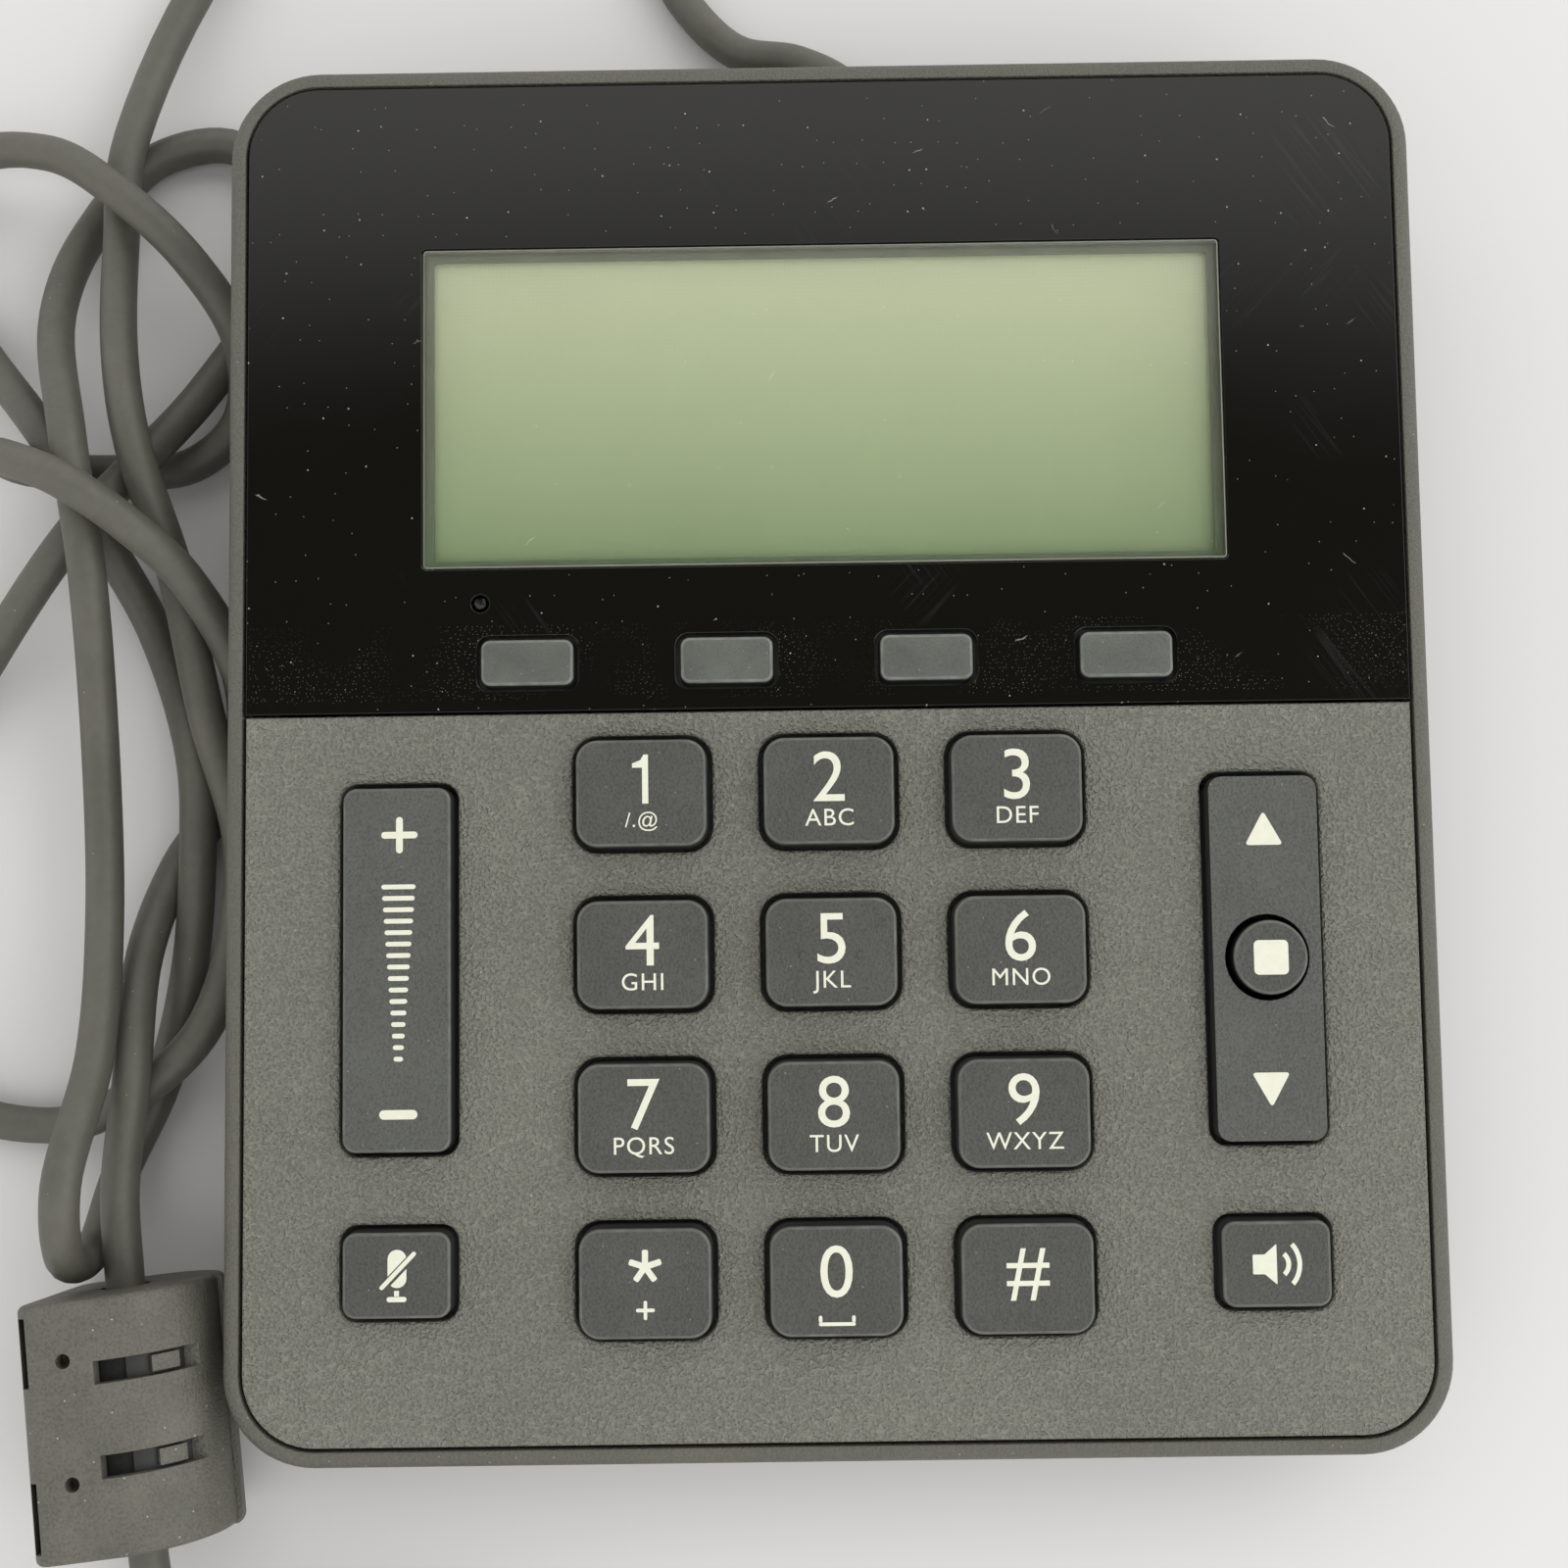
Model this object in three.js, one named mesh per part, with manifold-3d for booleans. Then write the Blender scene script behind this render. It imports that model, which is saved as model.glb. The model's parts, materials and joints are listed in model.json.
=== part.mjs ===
// Desk conference phone control unit: a wedge-shaped housing with a display, four soft keys, a twelve-key
// pad, two rockers and a corded clip-on ferrite. Millimetres, +Z up, front edge towards -Y, and the
// origin on the table under the middle of the housing.
import * as THREE from 'three';
import { mergeVertices } from 'three/addons/utils/BufferGeometryUtils.js';
import Module from 'manifold-3d';

const wasm = await Module();
wasm.setup();

// ---------------------------------------------------------------- driving dimensions

const BODY_WIDTH = 125;
const BODY_DEPTH = 145.6;
const BODY_CORNER = 9.5;
const FACE_TILT = THREE.MathUtils.degToRad(3);
const FACE_HEIGHT = 19.8; // middle of the face above the table
const GAP = 0.3; // between pieces that touch

const RIM_WIDTH = 1.75;
const RIM_DEPTH = 5.5;
const LEDGE_TOP = -2.3;
const LEDGE_BOTTOM = -3.8;
const LEDGE_OPENING = [115, 136];
const LEDGE_CORNER = 5;
const PANEL_THICKNESS = 2;
const PANEL_SPLIT = 3.8; // where the keypad panel meets the display panel
const PANEL_GROOVE = 0.35;

const KEY_PITCH_X = 19.25;
const KEY_PITCH_Y = 16.5;
const KEY_FIRST_ROW = -4.85;
const KEY_SIZE = [13.7, 11.3];
const KEY_CORNER = 2.2;
const KEY_PROUD = 2;
const KEY_SLACK = 0.4; // round a cap, on each side
const SOFT_PITCH = 20.7;
const SOFT_ROW = 8.95;
const SOFT_SIZE = [9.9, 5.1];
const SOFT_PROUD = 0.8;
const SIDE_COLUMN = 44.4; // rockers, mute and loudspeaker keys
const SIDE_KEY_ROW = -53.3;
const SIDE_KEY_SIZE = [11.3, 8.9];
const SIDE_CORNER = 1.4;
const ROCKER_SIZE = [11.4, 37.4];
const ROCKER_ROW = -22.5;
const SIDE_PROUD = 1.5;
const SELECT_RADIUS = 3.9;
const FLANGE = [-3.5, -2.3];
const ROCKER_FLANGE = [-4.3, -3.2];

const WINDOW_SIZE = [84.4, 34.5];
const WINDOW_ROW = 36.05;
const WINDOW_FLOOR = -1.6;
const WINDOW_LEDGE = 1.2;
const SCREEN = { size: [86, 36], bottom: -3.6, top: -2.4, corner: 0.5 };
const SCREEN_FRAME = { size: [90, 38.9], bottom: -6.3, wall: 1.7, corner: 1 };
const BACKLIGHT = [-5.7, -3.9];
const STATUS_AT = [-36, 15.3];
const STATUS_RADIUS = 0.6;

const SHEET_SIZE = [104, 75.8]; // the silicone mat and the dome sheet under the keys
const SHEET_ROW = -24.6;
const SHEET_CORNER = 3;
const MAT = [-6.9, -5.5];
const DOME_SHEET = [-7.45, -7.2];
const BOARD = [-9.35, -7.75];
const BOARD_SIZE = [106, 126];
const BOARD_CORNER = 6;
const CORD_BAY = { x: [-9, 20], y: [53.5, 70] }; // cut out of the board above the cord
const FILM = 0.25; // thickness of the display's flexible film

const CASE_SIZE = [122, 142];
const CASE_CORNER = 8;
const CASE_FLOOR = 1.2;
const CASE_WALL = 2;
const CASE_TAPER = [6.5, 11]; // how far the sides draw in, over what height
const FOOT_RADIUS = 5.5;
const FOOT_HEIGHT = 1.7;
const FEET = [[-44, -50], [44, -50], [-44, 44], [44, 44]];
const CASE_SCREWS = [[-32.7, -60], [32.7, -60], [-45, 59], [45, 59]];
const BOSS_RADIUS = 3;
const SCREW_RADIUS = 1.25;
const HEAD_RADIUS = 2.7;
const HEAD_RECESS = { radius: 3.1, depth: 2.7 };

const CORD_RADIUS = 2;
const EXIT = [5.5, 71, 8]; // where the cord leaves its strain relief
const COIL_CENTRE = [-49.6, -121];
const COIL_RADIUS = 22; // middle of the turns
const COIL_HALF_WIDTH = 6.4;
const COIL_Z = [0.2, 9.4];
const TIE_WIDTH = 8;
const TIE_THICKNESS = 0.8;

const FERRITE_AT = [-73.2, -67.6, 9.7];
const FERRITE_TURN = THREE.MathUtils.degToRad(6.5);
const FERRITE_LENGTH = 25.5;
const FERRITE_ROUND = 9.6; // radius of the round side, and half the height
const FERRITE_FLAT = -8.3; // the flat, hinged side
const FERRITE_BORE = 2.6;
const CORE_RADIUS = 7.8;
const CORE_LENGTH = 20.4;

// ---------------------------------------------------------------- materials

function plastic(name, color, roughness, metalness = 0) {
  return new THREE.MeshStandardMaterial({ name, color, roughness, metalness });
}

const GREY_CASE = plastic('grey_case_plastic', 0x5f5d55, 0.62);
const GREY_PANEL = plastic('grained_panel_plastic', 0x6e6c64, 0.6);
const GLOSS_BLACK = plastic('gloss_black_plastic', 0x0a0a0a, 0.08);
const CLEAR = plastic('clear_lens', 0xd8dcd0, 0.05);
const KEY_PLASTIC = plastic('key_plastic', 0x444648, 0.55);
const SOFT_PLASTIC = plastic('softkey_plastic', 0x55585c, 0.4);
const LCD_GLASS = plastic('lcd_glass', 0xa8b48c, 0.2);
const WHITE_PLASTIC = plastic('white_plastic', 0xd8d8d0, 0.5);
const BLACK_RUBBER = plastic('black_rubber', 0x1c1c1c, 0.85);
const GREY_SILICONE = plastic('grey_silicone', 0x8a8c8c, 0.8);
const GREEN_BOARD = plastic('green_board', 0x1e5a36, 0.5);
const STEEL = plastic('zinc_steel', 0xb4b6b8, 0.35, 1);
const COPPER_FILM = plastic('copper_film', 0xb06a30, 0.4, 0.6);
const CORD_PVC = plastic('cord_pvc', 0x55534b, 0.6);
const FERRITE = plastic('sintered_ferrite', 0x2a2a2c, 0.7);

// ---------------------------------------------------------------- solids

function solidOf(geometry) {
  const bare = geometry.clone();
  bare.deleteAttribute('normal');
  bare.deleteAttribute('uv');
  const merged = mergeVertices(bare, 1e-4);
  return new wasm.Manifold(new wasm.Mesh({
    numProp: 3,
    vertProperties: new Float32Array(merged.attributes.position.array),
    triVerts: new Uint32Array(merged.index.array),
  }));
}

function geometryOf(solid) {
  const mesh = solid.getMesh();
  const geometry = new THREE.BufferGeometry();
  geometry.setAttribute('position', new THREE.BufferAttribute(mesh.vertProperties, 3));
  geometry.setIndex(new THREE.BufferAttribute(mesh.triVerts, 1));
  geometry.computeVertexNormals();
  return geometry;
}

function roundedRect(width, height, radius, x = 0, y = 0) {
  const shape = new THREE.Shape();
  const right = x + width / 2 - radius;
  const left = x - width / 2 + radius;
  const back = y + height / 2 - radius;
  const front = y - height / 2 + radius;
  shape.absarc(right, back, radius, 0, Math.PI / 2);
  shape.absarc(left, back, radius, Math.PI / 2, Math.PI);
  shape.absarc(left, front, radius, Math.PI, Math.PI * 1.5);
  shape.absarc(right, front, radius, Math.PI * 1.5, Math.PI * 2);
  shape.closePath();
  return shape;
}

// A slab of a shape between two heights. Its edges are rounded by bevel = [inwards, along Z, segments].
function slab(shape, bottom, top, bevel = null, curveSegments = 2) {
  const [size, thickness, bevelSegments] = bevel ?? [0, 0, 0];
  const geometry = new THREE.ExtrudeGeometry(shape, {
    depth: top - bottom - 2 * thickness,
    curveSegments,
    bevelEnabled: bevel !== null,
    bevelSize: size,
    bevelOffset: -size,
    bevelThickness: thickness,
    bevelSegments,
  });
  return solidOf(geometry.translate(0, 0, bottom + thickness));
}

function block(x0, x1, y0, y1, z0, z1) {
  const geometry = new THREE.BoxGeometry(x1 - x0, y1 - y0, z1 - z0);
  return solidOf(geometry.translate((x0 + x1) / 2, (y0 + y1) / 2, (z0 + z1) / 2));
}

function post(x, y, radius, bottom, top, sides = 16) {
  const geometry = new THREE.CylinderGeometry(radius, radius, top - bottom, sides);
  return solidOf(geometry.rotateX(Math.PI / 2).translate(x, y, (bottom + top) / 2));
}

// A bar of round section lying along Y.
function bar(x, z, radius, y0, y1, sides = 16) {
  const geometry = new THREE.CylinderGeometry(radius, radius, y1 - y0, sides);
  return solidOf(geometry.translate(x, (y0 + y1) / 2, z));
}

function joined(...solids) {
  return solids.reduce((whole, piece) => whole.add(piece));
}

function cut(solid, ...tools) {
  return tools.reduce((rest, tool) => rest.subtract(tool), solid);
}

function mesh(name, solid, material) {
  const piece = new THREE.Mesh(geometryOf(solid), material);
  piece.name = name;
  return piece;
}

// ---------------------------------------------------------------- groups and frames

const unit = new THREE.Group();
const face = new THREE.Group(); // +Z out of the face, z = 0 at the panels' surface
face.position.set(0, 0, FACE_HEIGHT);
face.rotation.x = FACE_TILT;
face.updateMatrix();
unit.add(face);

function inTableFrame(solid) {
  return solidOf(geometryOf(solid).applyMatrix4(face.matrix));
}

// ---------------------------------------------------------------- keys: names, places and sizes

const PAD_NAMES = [
  ['key_1', 'key_2', 'key_3'],
  ['key_4', 'key_5', 'key_6'],
  ['key_7', 'key_8', 'key_9'],
  ['key_star', 'key_0', 'key_pound'],
];

const padKeys = PAD_NAMES.flatMap((names, row) => names.map((name, column) => ({
  name,
  x: (column - 1) * KEY_PITCH_X,
  y: KEY_FIRST_ROW - row * KEY_PITCH_Y,
  size: KEY_SIZE,
  corner: KEY_CORNER,
  proud: KEY_PROUD,
})));

const sideKeys = [['mute_button', -1], ['speaker_button', 1]].map(([name, side]) => ({
  name,
  x: side * SIDE_COLUMN,
  y: SIDE_KEY_ROW,
  size: SIDE_KEY_SIZE,
  corner: SIDE_CORNER,
  proud: SIDE_PROUD,
}));

const softKeys = [0, 1, 2, 3].map((place) => ({
  name: `softkey_${place + 1}`,
  x: (place - 1.5) * SOFT_PITCH,
  y: SOFT_ROW,
  size: SOFT_SIZE,
  corner: 1,
  proud: SOFT_PROUD,
}));

const rockers = [['volume_rocker', -1], ['nav_rocker', 1]].map(([name, side]) => ({
  name,
  x: side * SIDE_COLUMN,
  y: ROCKER_ROW,
  size: ROCKER_SIZE,
  corner: SIDE_CORNER,
  proud: SIDE_PROUD,
}));

function keyHole({ x, y, size, corner }) {
  const shape = roundedRect(size[0] + 2 * KEY_SLACK, size[1] + 2 * KEY_SLACK, corner + KEY_SLACK, x, y);
  return slab(shape, -PANEL_THICKNESS - 1, 1, null, 1);
}

// ---------------------------------------------------------------- housing, in the face frame

function makeTopCase() {
  const bevel = [1.1, 1.1, 1];
  const outer = slab(roundedRect(BODY_WIDTH, BODY_DEPTH, BODY_CORNER), -RIM_DEPTH, 0, bevel, 3);
  const width = BODY_WIDTH - 2 * RIM_WIDTH;
  const depth = BODY_DEPTH - 2 * RIM_WIDTH;
  const opening = slab(roundedRect(width, depth, BODY_CORNER - RIM_WIDTH), LEDGE_TOP, 1, null, 3);
  const through = slab(roundedRect(...LEDGE_OPENING, LEDGE_CORNER), -RIM_DEPTH - 1, 1);
  const rebateCorner = BODY_CORNER - RIM_WIDTH - 0.75;
  const rebate = slab(roundedRect(width - 1, depth - 1, rebateCorner), -RIM_DEPTH - 1, LEDGE_BOTTOM, null, 3);
  return cut(outer, opening, through, rebate);
}

function makePanelBlank() {
  const inset = 2 * (RIM_WIDTH + PANEL_GROOVE);
  const corner = BODY_CORNER - RIM_WIDTH - PANEL_GROOVE;
  return slab(roundedRect(BODY_WIDTH - inset, BODY_DEPTH - inset, corner), -PANEL_THICKNESS, 0, null, 3);
}

function screwBoss([x, y]) {
  const sleeve = post(x, y, BOSS_RADIUS, BOARD[0], -PANEL_THICKNESS + 0.1, 12);
  return cut(sleeve, post(x, y, SCREW_RADIUS + GAP, BOARD[0] - 1, -3.4, 8));
}

function makeKeypadPanel() {
  const front = block(-70, 70, -80, PANEL_SPLIT - GAP / 2, -5, 5);
  const holes = [...padKeys, ...sideKeys, ...rockers].map(keyHole);
  const plate = cut(makePanelBlank().intersect(front), ...holes);
  return joined(plate, ...CASE_SCREWS.slice(0, 2).map(screwBoss));
}

function makeDisplayPanel() {
  const back = block(-70, 70, PANEL_SPLIT + GAP / 2, 80, -5, 5);
  const [width, height] = WINDOW_SIZE;
  const window = slab(roundedRect(width, height, 0.6, 0, WINDOW_ROW), WINDOW_FLOOR, 1);
  const sight = slab(
    roundedRect(width - 2 * WINDOW_LEDGE, height - 2 * WINDOW_LEDGE, 0.4, 0, WINDOW_ROW), -3, 1);
  const pipeHole = post(...STATUS_AT, STATUS_RADIUS + GAP, -3, 1, 12);
  const plate = cut(makePanelBlank().intersect(back), window, sight, pipeHole, ...softKeys.map(keyHole));
  return joined(plate, ...CASE_SCREWS.slice(2).map(screwBoss));
}

function makeDisplayLens() {
  const [width, height] = WINDOW_SIZE;
  return slab(roundedRect(width - 0.5, height - 0.5, 0.4, 0, WINDOW_ROW), WINDOW_FLOOR + GAP, 0);
}

face.add(
  mesh('top_case', makeTopCase(), GREY_CASE),
  mesh('keypad_panel', makeKeypadPanel(), GREY_PANEL),
  mesh('display_panel', makeDisplayPanel(), GLOSS_BLACK),
  mesh('display_lens', makeDisplayLens(), CLEAR),
);

// ---------------------------------------------------------------- keys, in the face frame

function makePressKey({ x, y, size, corner, proud }) {
  const cap = slab(roundedRect(...size, corner, x, y), FLANGE[0], proud, [0.4, 0.4, 1], 1);
  const flange = slab(roundedRect(size[0] + 2, size[1] + 2, corner, x, y), ...FLANGE, null, 1);
  const plunger = post(x, y, 1.8, -4.2, FLANGE[0] + 0.1, 8);
  return joined(cap, flange, plunger);
}

function makeRocker({ x, y, size, corner, proud }) {
  const cap = slab(roundedRect(...size, corner, x, y), ROCKER_FLANGE[0], proud, [0.4, 0.4, 1], 1);
  const flange = slab(roundedRect(size[0] + 2, size[1] + 2.4, corner, x, y), ...ROCKER_FLANGE, null, 1);
  return joined(cap, flange);
}

for (const key of padKeys) face.add(mesh(key.name, makePressKey(key), KEY_PLASTIC));
for (const key of sideKeys) face.add(mesh(key.name, makePressKey(key), KEY_PLASTIC));
for (const key of softKeys) face.add(mesh(key.name, makePressKey(key), SOFT_PLASTIC));

const [volume, navigation] = rockers;
const selectHole = post(navigation.x, navigation.y, SELECT_RADIUS + 0.5, -6, 3, 24);
face.add(
  mesh('volume_rocker', makeRocker(volume), KEY_PLASTIC),
  mesh('nav_rocker', cut(makeRocker(navigation), selectHole), KEY_PLASTIC),
  mesh('select_button', post(navigation.x, navigation.y, SELECT_RADIUS, -4.4, SIDE_PROUD + 0.7, 24), KEY_PLASTIC),
);

// ---------------------------------------------------------------- inside, in the face frame

const screwClearance = CASE_SCREWS.map(([x, y]) => post(x, y, BOSS_RADIUS + 0.4, -12, 0, 12));

function keySheet(heights) {
  const sheet = slab(roundedRect(...SHEET_SIZE, SHEET_CORNER, 0, SHEET_ROW), ...heights);
  return cut(sheet, ...screwClearance.slice(0, 2));
}

function makeBoard() {
  const board = slab(roundedRect(...BOARD_SIZE, BOARD_CORNER), ...BOARD);
  const cordBay = block(...CORD_BAY.x, ...CORD_BAY.y, BOARD[0] - 1, BOARD[1] + 1);
  return cut(board, cordBay, ...screwClearance);
}

function makeScreenLayer(bottom, top) {
  return slab(roundedRect(...SCREEN.size, SCREEN.corner, 0, WINDOW_ROW), bottom, top, null, 1);
}

function makeDisplayFrame() {
  const { size, bottom, wall, corner } = SCREEN_FRAME;
  const outer = slab(roundedRect(...size, corner, 0, WINDOW_ROW), bottom, SCREEN.top, null, 1);
  const [width, height] = [size[0] - 2 * wall, SCREEN.size[1] + 2 * GAP];
  return cut(outer, slab(roundedRect(width, height, corner / 2, 0, WINDOW_ROW), bottom - 1, 0, null, 1));
}

function makeDisplayFlex() {
  const fold = 40; // where the film turns down to the board
  const top = SCREEN_FRAME.bottom;
  const low = BOARD[1] + GAP;
  return joined(
    block(-14, 14, 24, fold, top, top + FILM),
    block(-14, 14, fold - FILM, fold, low, top + FILM),
    block(-14, 14, fold - FILM, 46, low, low + FILM),
  );
}

face.add(
  mesh('keypad_mat', keySheet(MAT), GREY_SILICONE),
  mesh('dome_sheet', keySheet(DOME_SHEET), COPPER_FILM),
  mesh('main_board', makeBoard(), GREEN_BOARD),
  mesh('lcd_panel', makeScreenLayer(SCREEN.bottom, SCREEN.top), LCD_GLASS),
  mesh('lcd_frame', makeDisplayFrame(), STEEL),
  mesh('backlight', makeScreenLayer(...BACKLIGHT), WHITE_PLASTIC),
  mesh('lcd_flex', makeDisplayFlex(), COPPER_FILM),
  mesh('status_lens', post(...STATUS_AT, STATUS_RADIUS, -6.6, 0, 12), CLEAR),
  mesh('status_led', block(-36.8, -35.2, 14.6, 16, -7.45, -6.9), WHITE_PLASTIC),
  mesh('shield_can', block(-34, -8, 12, 32, -12.2, BOARD[0] - GAP), STEEL),
  mesh('cable_header', block(-0.5, 11.5, 34.5, 40.5, -15.8, BOARD[0] - GAP), WHITE_PLASTIC),
);

// ---------------------------------------------------------------- bottom case, feet and screws

const NOTCH = { x0: -4.5, x1: 15.5, y: 60.5, top: 13.5 }; // where the cord leaves the rear wall
const CLAMP = { x0: -5, x1: 16, y0: 45, y1: 51, seat: 5.7, top: 11 };
const CLAMP_SCREW_X = 12.6;

// The underside lies on the table plane, so a point on the face finds its floor by the wedge.
function floorUnder(y) {
  return (CASE_FLOOR - FACE_HEIGHT - y * Math.sin(FACE_TILT)) / Math.cos(FACE_TILT);
}

function makeBottomCase() {
  const underTop = inTableFrame(block(-100, 100, -100, 100, -60, -RIM_DEPTH - GAP));
  const notch = block(NOTCH.x0, NOTCH.x1, NOTCH.y, 90, -1, NOTCH.top);
  const notchWalls = block(
    NOTCH.x0 - CASE_WALL, NOTCH.x1 + CASE_WALL, NOTCH.y - CASE_WALL, 90, -1, NOTCH.top + CASE_WALL);
  const outer = slab(roundedRect(...CASE_SIZE, CASE_CORNER), CASE_FLOOR, 45, [...CASE_TAPER, 2]);
  const inner = slab(
    roundedRect(CASE_SIZE[0] - 2 * CASE_WALL, CASE_SIZE[1] - 2 * CASE_WALL, CASE_CORNER - CASE_WALL),
    CASE_FLOOR + CASE_WALL, 45, [5.5, 10, 1]);
  const bosses = CASE_SCREWS.map(([x, y]) => post(x, y, BOSS_RADIUS + 0.8, floorUnder(y), BOARD[0] - GAP, 12));
  const clampSeat = block(CLAMP.x0, CLAMP.x1, CLAMP.y0, CLAMP.y1, CASE_FLOOR + 1, CLAMP.seat);
  const shell = joined(
    cut(outer, notch, inner.subtract(notchWalls)),
    ...bosses.map((boss) => inTableFrame(boss)),
    clampSeat,
  ).intersect(underTop);
  const screwHoles = CASE_SCREWS.map(([x, y]) => joined(
    post(x, y, SCREW_RADIUS + GAP, floorUnder(y) - 2, 0, 8),
    post(x, y, HEAD_RECESS.radius, floorUnder(y) - 2, floorUnder(y) + HEAD_RECESS.depth, 12),
  ));
  const footSeats = FEET.map(([x, y]) => post(x, y, FOOT_RADIUS + GAP, -1, FOOT_HEIGHT + GAP));
  return cut(
    shell,
    ...screwHoles.map((hole) => inTableFrame(hole)),
    ...footSeats,
    bar(EXIT[0], EXIT[2], 3.5, NOTCH.y - 4, NOTCH.y + 2),
    post(CLAMP_SCREW_X, (CLAMP.y0 + CLAMP.y1) / 2, 1.3, 3.6, CLAMP.seat + 1, 10),
  );
}

unit.add(mesh('bottom_case', makeBottomCase(), GREY_CASE));

FEET.forEach(([x, y], index) => {
  unit.add(mesh(`foot_${index + 1}`, post(x, y, FOOT_RADIUS, 0, FOOT_HEIGHT), BLACK_RUBBER));
});

CASE_SCREWS.forEach(([x, y], index) => {
  const head = post(x, y, HEAD_RADIUS, floorUnder(y) + 0.8, floorUnder(y) + HEAD_RECESS.depth - GAP, 12);
  const shank = post(x, y, SCREW_RADIUS, floorUnder(y) + 2.3, -4.2, 8);
  face.add(mesh(`case_screw_${index + 1}`, joined(head, shank), STEEL));
});

// ---------------------------------------------------------------- cord exit

function makeStrainRelief() {
  const y0 = NOTCH.y - CASE_WALL - GAP; // inner face of the rear wall, less a gap
  const profile = [[2.2, y0 - 1.8], [4.3, y0 - 1.8], [4.3, y0], [3.2, y0], [3.2, NOTCH.y + GAP],
    [4.4, NOTCH.y + GAP], [4.2, 62.6], [2.7, EXIT[1]], [2.2, EXIT[1]], [2.2, y0 - 1.8]];
  const lathe = new THREE.LatheGeometry(profile.map(([r, y]) => new THREE.Vector2(r, y)), 16);
  return solidOf(lathe.translate(EXIT[0], 0, EXIT[2]));
}

function makeCableClamp() {
  const middle = (CLAMP.y0 + CLAMP.y1) / 2;
  const saddle = block(CLAMP.x0, CLAMP.x1, CLAMP.y0, CLAMP.y1, CLAMP.seat + GAP, CLAMP.top);
  return cut(
    saddle,
    bar(EXIT[0], EXIT[2], CORD_RADIUS + GAP, CLAMP.y0 - 1, CLAMP.y1 + 1, 12),
    block(EXIT[0] - 2.3, EXIT[0] + 2.3, CLAMP.y0 - 1, CLAMP.y1 + 1, 4, EXIT[2]),
    post(CLAMP_SCREW_X, middle, 1.3, 4, 12, 10),
  );
}

function makeClampScrew() {
  const middle = (CLAMP.y0 + CLAMP.y1) / 2;
  return joined(
    post(CLAMP_SCREW_X, middle, 2.2, CLAMP.top + GAP, CLAMP.top + 1.4, 12),
    post(CLAMP_SCREW_X, middle, 1, 4.2, CLAMP.top + 0.4, 8),
  );
}

unit.add(
  mesh('strain_relief', makeStrainRelief(), BLACK_RUBBER),
  mesh('cable_clamp', makeCableClamp(), WHITE_PLASTIC),
  mesh('clamp_screw', makeClampScrew(), STEEL),
  mesh('inner_lead', bar(EXIT[0], EXIT[2], CORD_RADIUS, 41.8, NOTCH.y - CASE_WALL - 2.6, 10), CORD_PVC),
);

// ---------------------------------------------------------------- free cord

// The route by hand, from the strain relief: an arc behind the housing, six crossing runs beside it with
// two upright turns, through the ferrite and down to the coil.
const CORD_ROUTE = [
  EXIT, [4.2, 77.8, 6.6], [-1.8, 82.6, 4.5], [-9, 85, 2.8], [-15.5, 92, 2.4], [-23, 108, 2.3],
  [-44, 117, 2.3], [-66, 104, 2.5], [-78.7, 74, 6.4], [-79.2, 60, 7.6], [-77.6, 46, 11.6],
  [-75.2, 35, 13.3], [-71.8, 22.5, 9], [-68, 6, 8.4], [-64, -10, 7.1], [-67.5, -27.5, 6.9],
  [-75, -35, 6.8], [-86, -38.5, 2.6], [-100, -34, 2.3], [-107.5, -13, 2.3], [-96, 10.5, 3.2],
  [-82.5, 26, 10.8], [-76.5, 34, 8.8], [-70.5, 44, 4], [-63.8, 56, 2.3], [-62, 65.5, 2.3],
  [-67.5, 74.2, 2.3], [-77, 73, 2.3], [-84.5, 63.5, 3], [-86, 52, 8], [-81.8, 36, 15.2],
  [-79.4, 20.5, 14.4], [-79, 2, 9.8], [-78, -16, 9.8], [-77.2, -31, 13.8], [-78.2, -44, 19.7],
  [-79, -51.5, 15.4], [-79.2, -51.5, 6.6], [-78, -44, 2.6], [-73.6, -34, 2.5], [-71, -22, 2.5],
  [-69.2, -9, 6.3], [-70.2, 2, 5.4], [-76, 17, 2.3], [-81, 27, 6], [-85.8, 36.5, 8.8],
  [-98, 52, 2.6], [-103.5, 62.5, 3], [-98, 71.3, 6], [-87, 70.6, 9.6], [-78.5, 65, 11.5],
  [-71, 58, 9.6], [-65.6, 49, 6.8], [-66.3, 41, 3.6], [-72, 36, 2.6], [-80.7, 35.3, 2.6],
  [-88.8, 34.6, 6.6], [-88.8, 33.5, 15.4], [-80.7, 29.6, 19.8], [-74.5, 25.4, 17.4], [-69, 20, 13.2],
  [-64.4, 9.5, 7.2], [-66.5, -1, 2.8], [-72.4, -10, 2.4], [-74.8, -20, 6], [-74.2, -34, 11.1],
  [-75.3, -45, 10.4], [-74.8, -53.7, 9.7], [-73.2, -67.6, 9.7], [-71.6, -81.5, 9.7],
  [-71.2, -87, 8.2], [-71.4, -94, 4.8], [-71.6, -100.3, 3],
];

// Steps are even between the route's points rather than along its length, so tight bends get more.
class CordCurve extends THREE.CatmullRomCurve3 {
  getUtoTmapping(u) {
    return u;
  }
}

function cordTube(points, steps) {
  const section = new THREE.Shape();
  section.absarc(0, 0, CORD_RADIUS, 0, Math.PI * 2);
  const curve = new CordCurve(points.map(([x, y, z]) => new THREE.Vector3(x, y, z)));
  return solidOf(new THREE.ExtrudeGeometry(section, { steps, curveSegments: 4, extrudePath: curve }));
}

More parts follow.
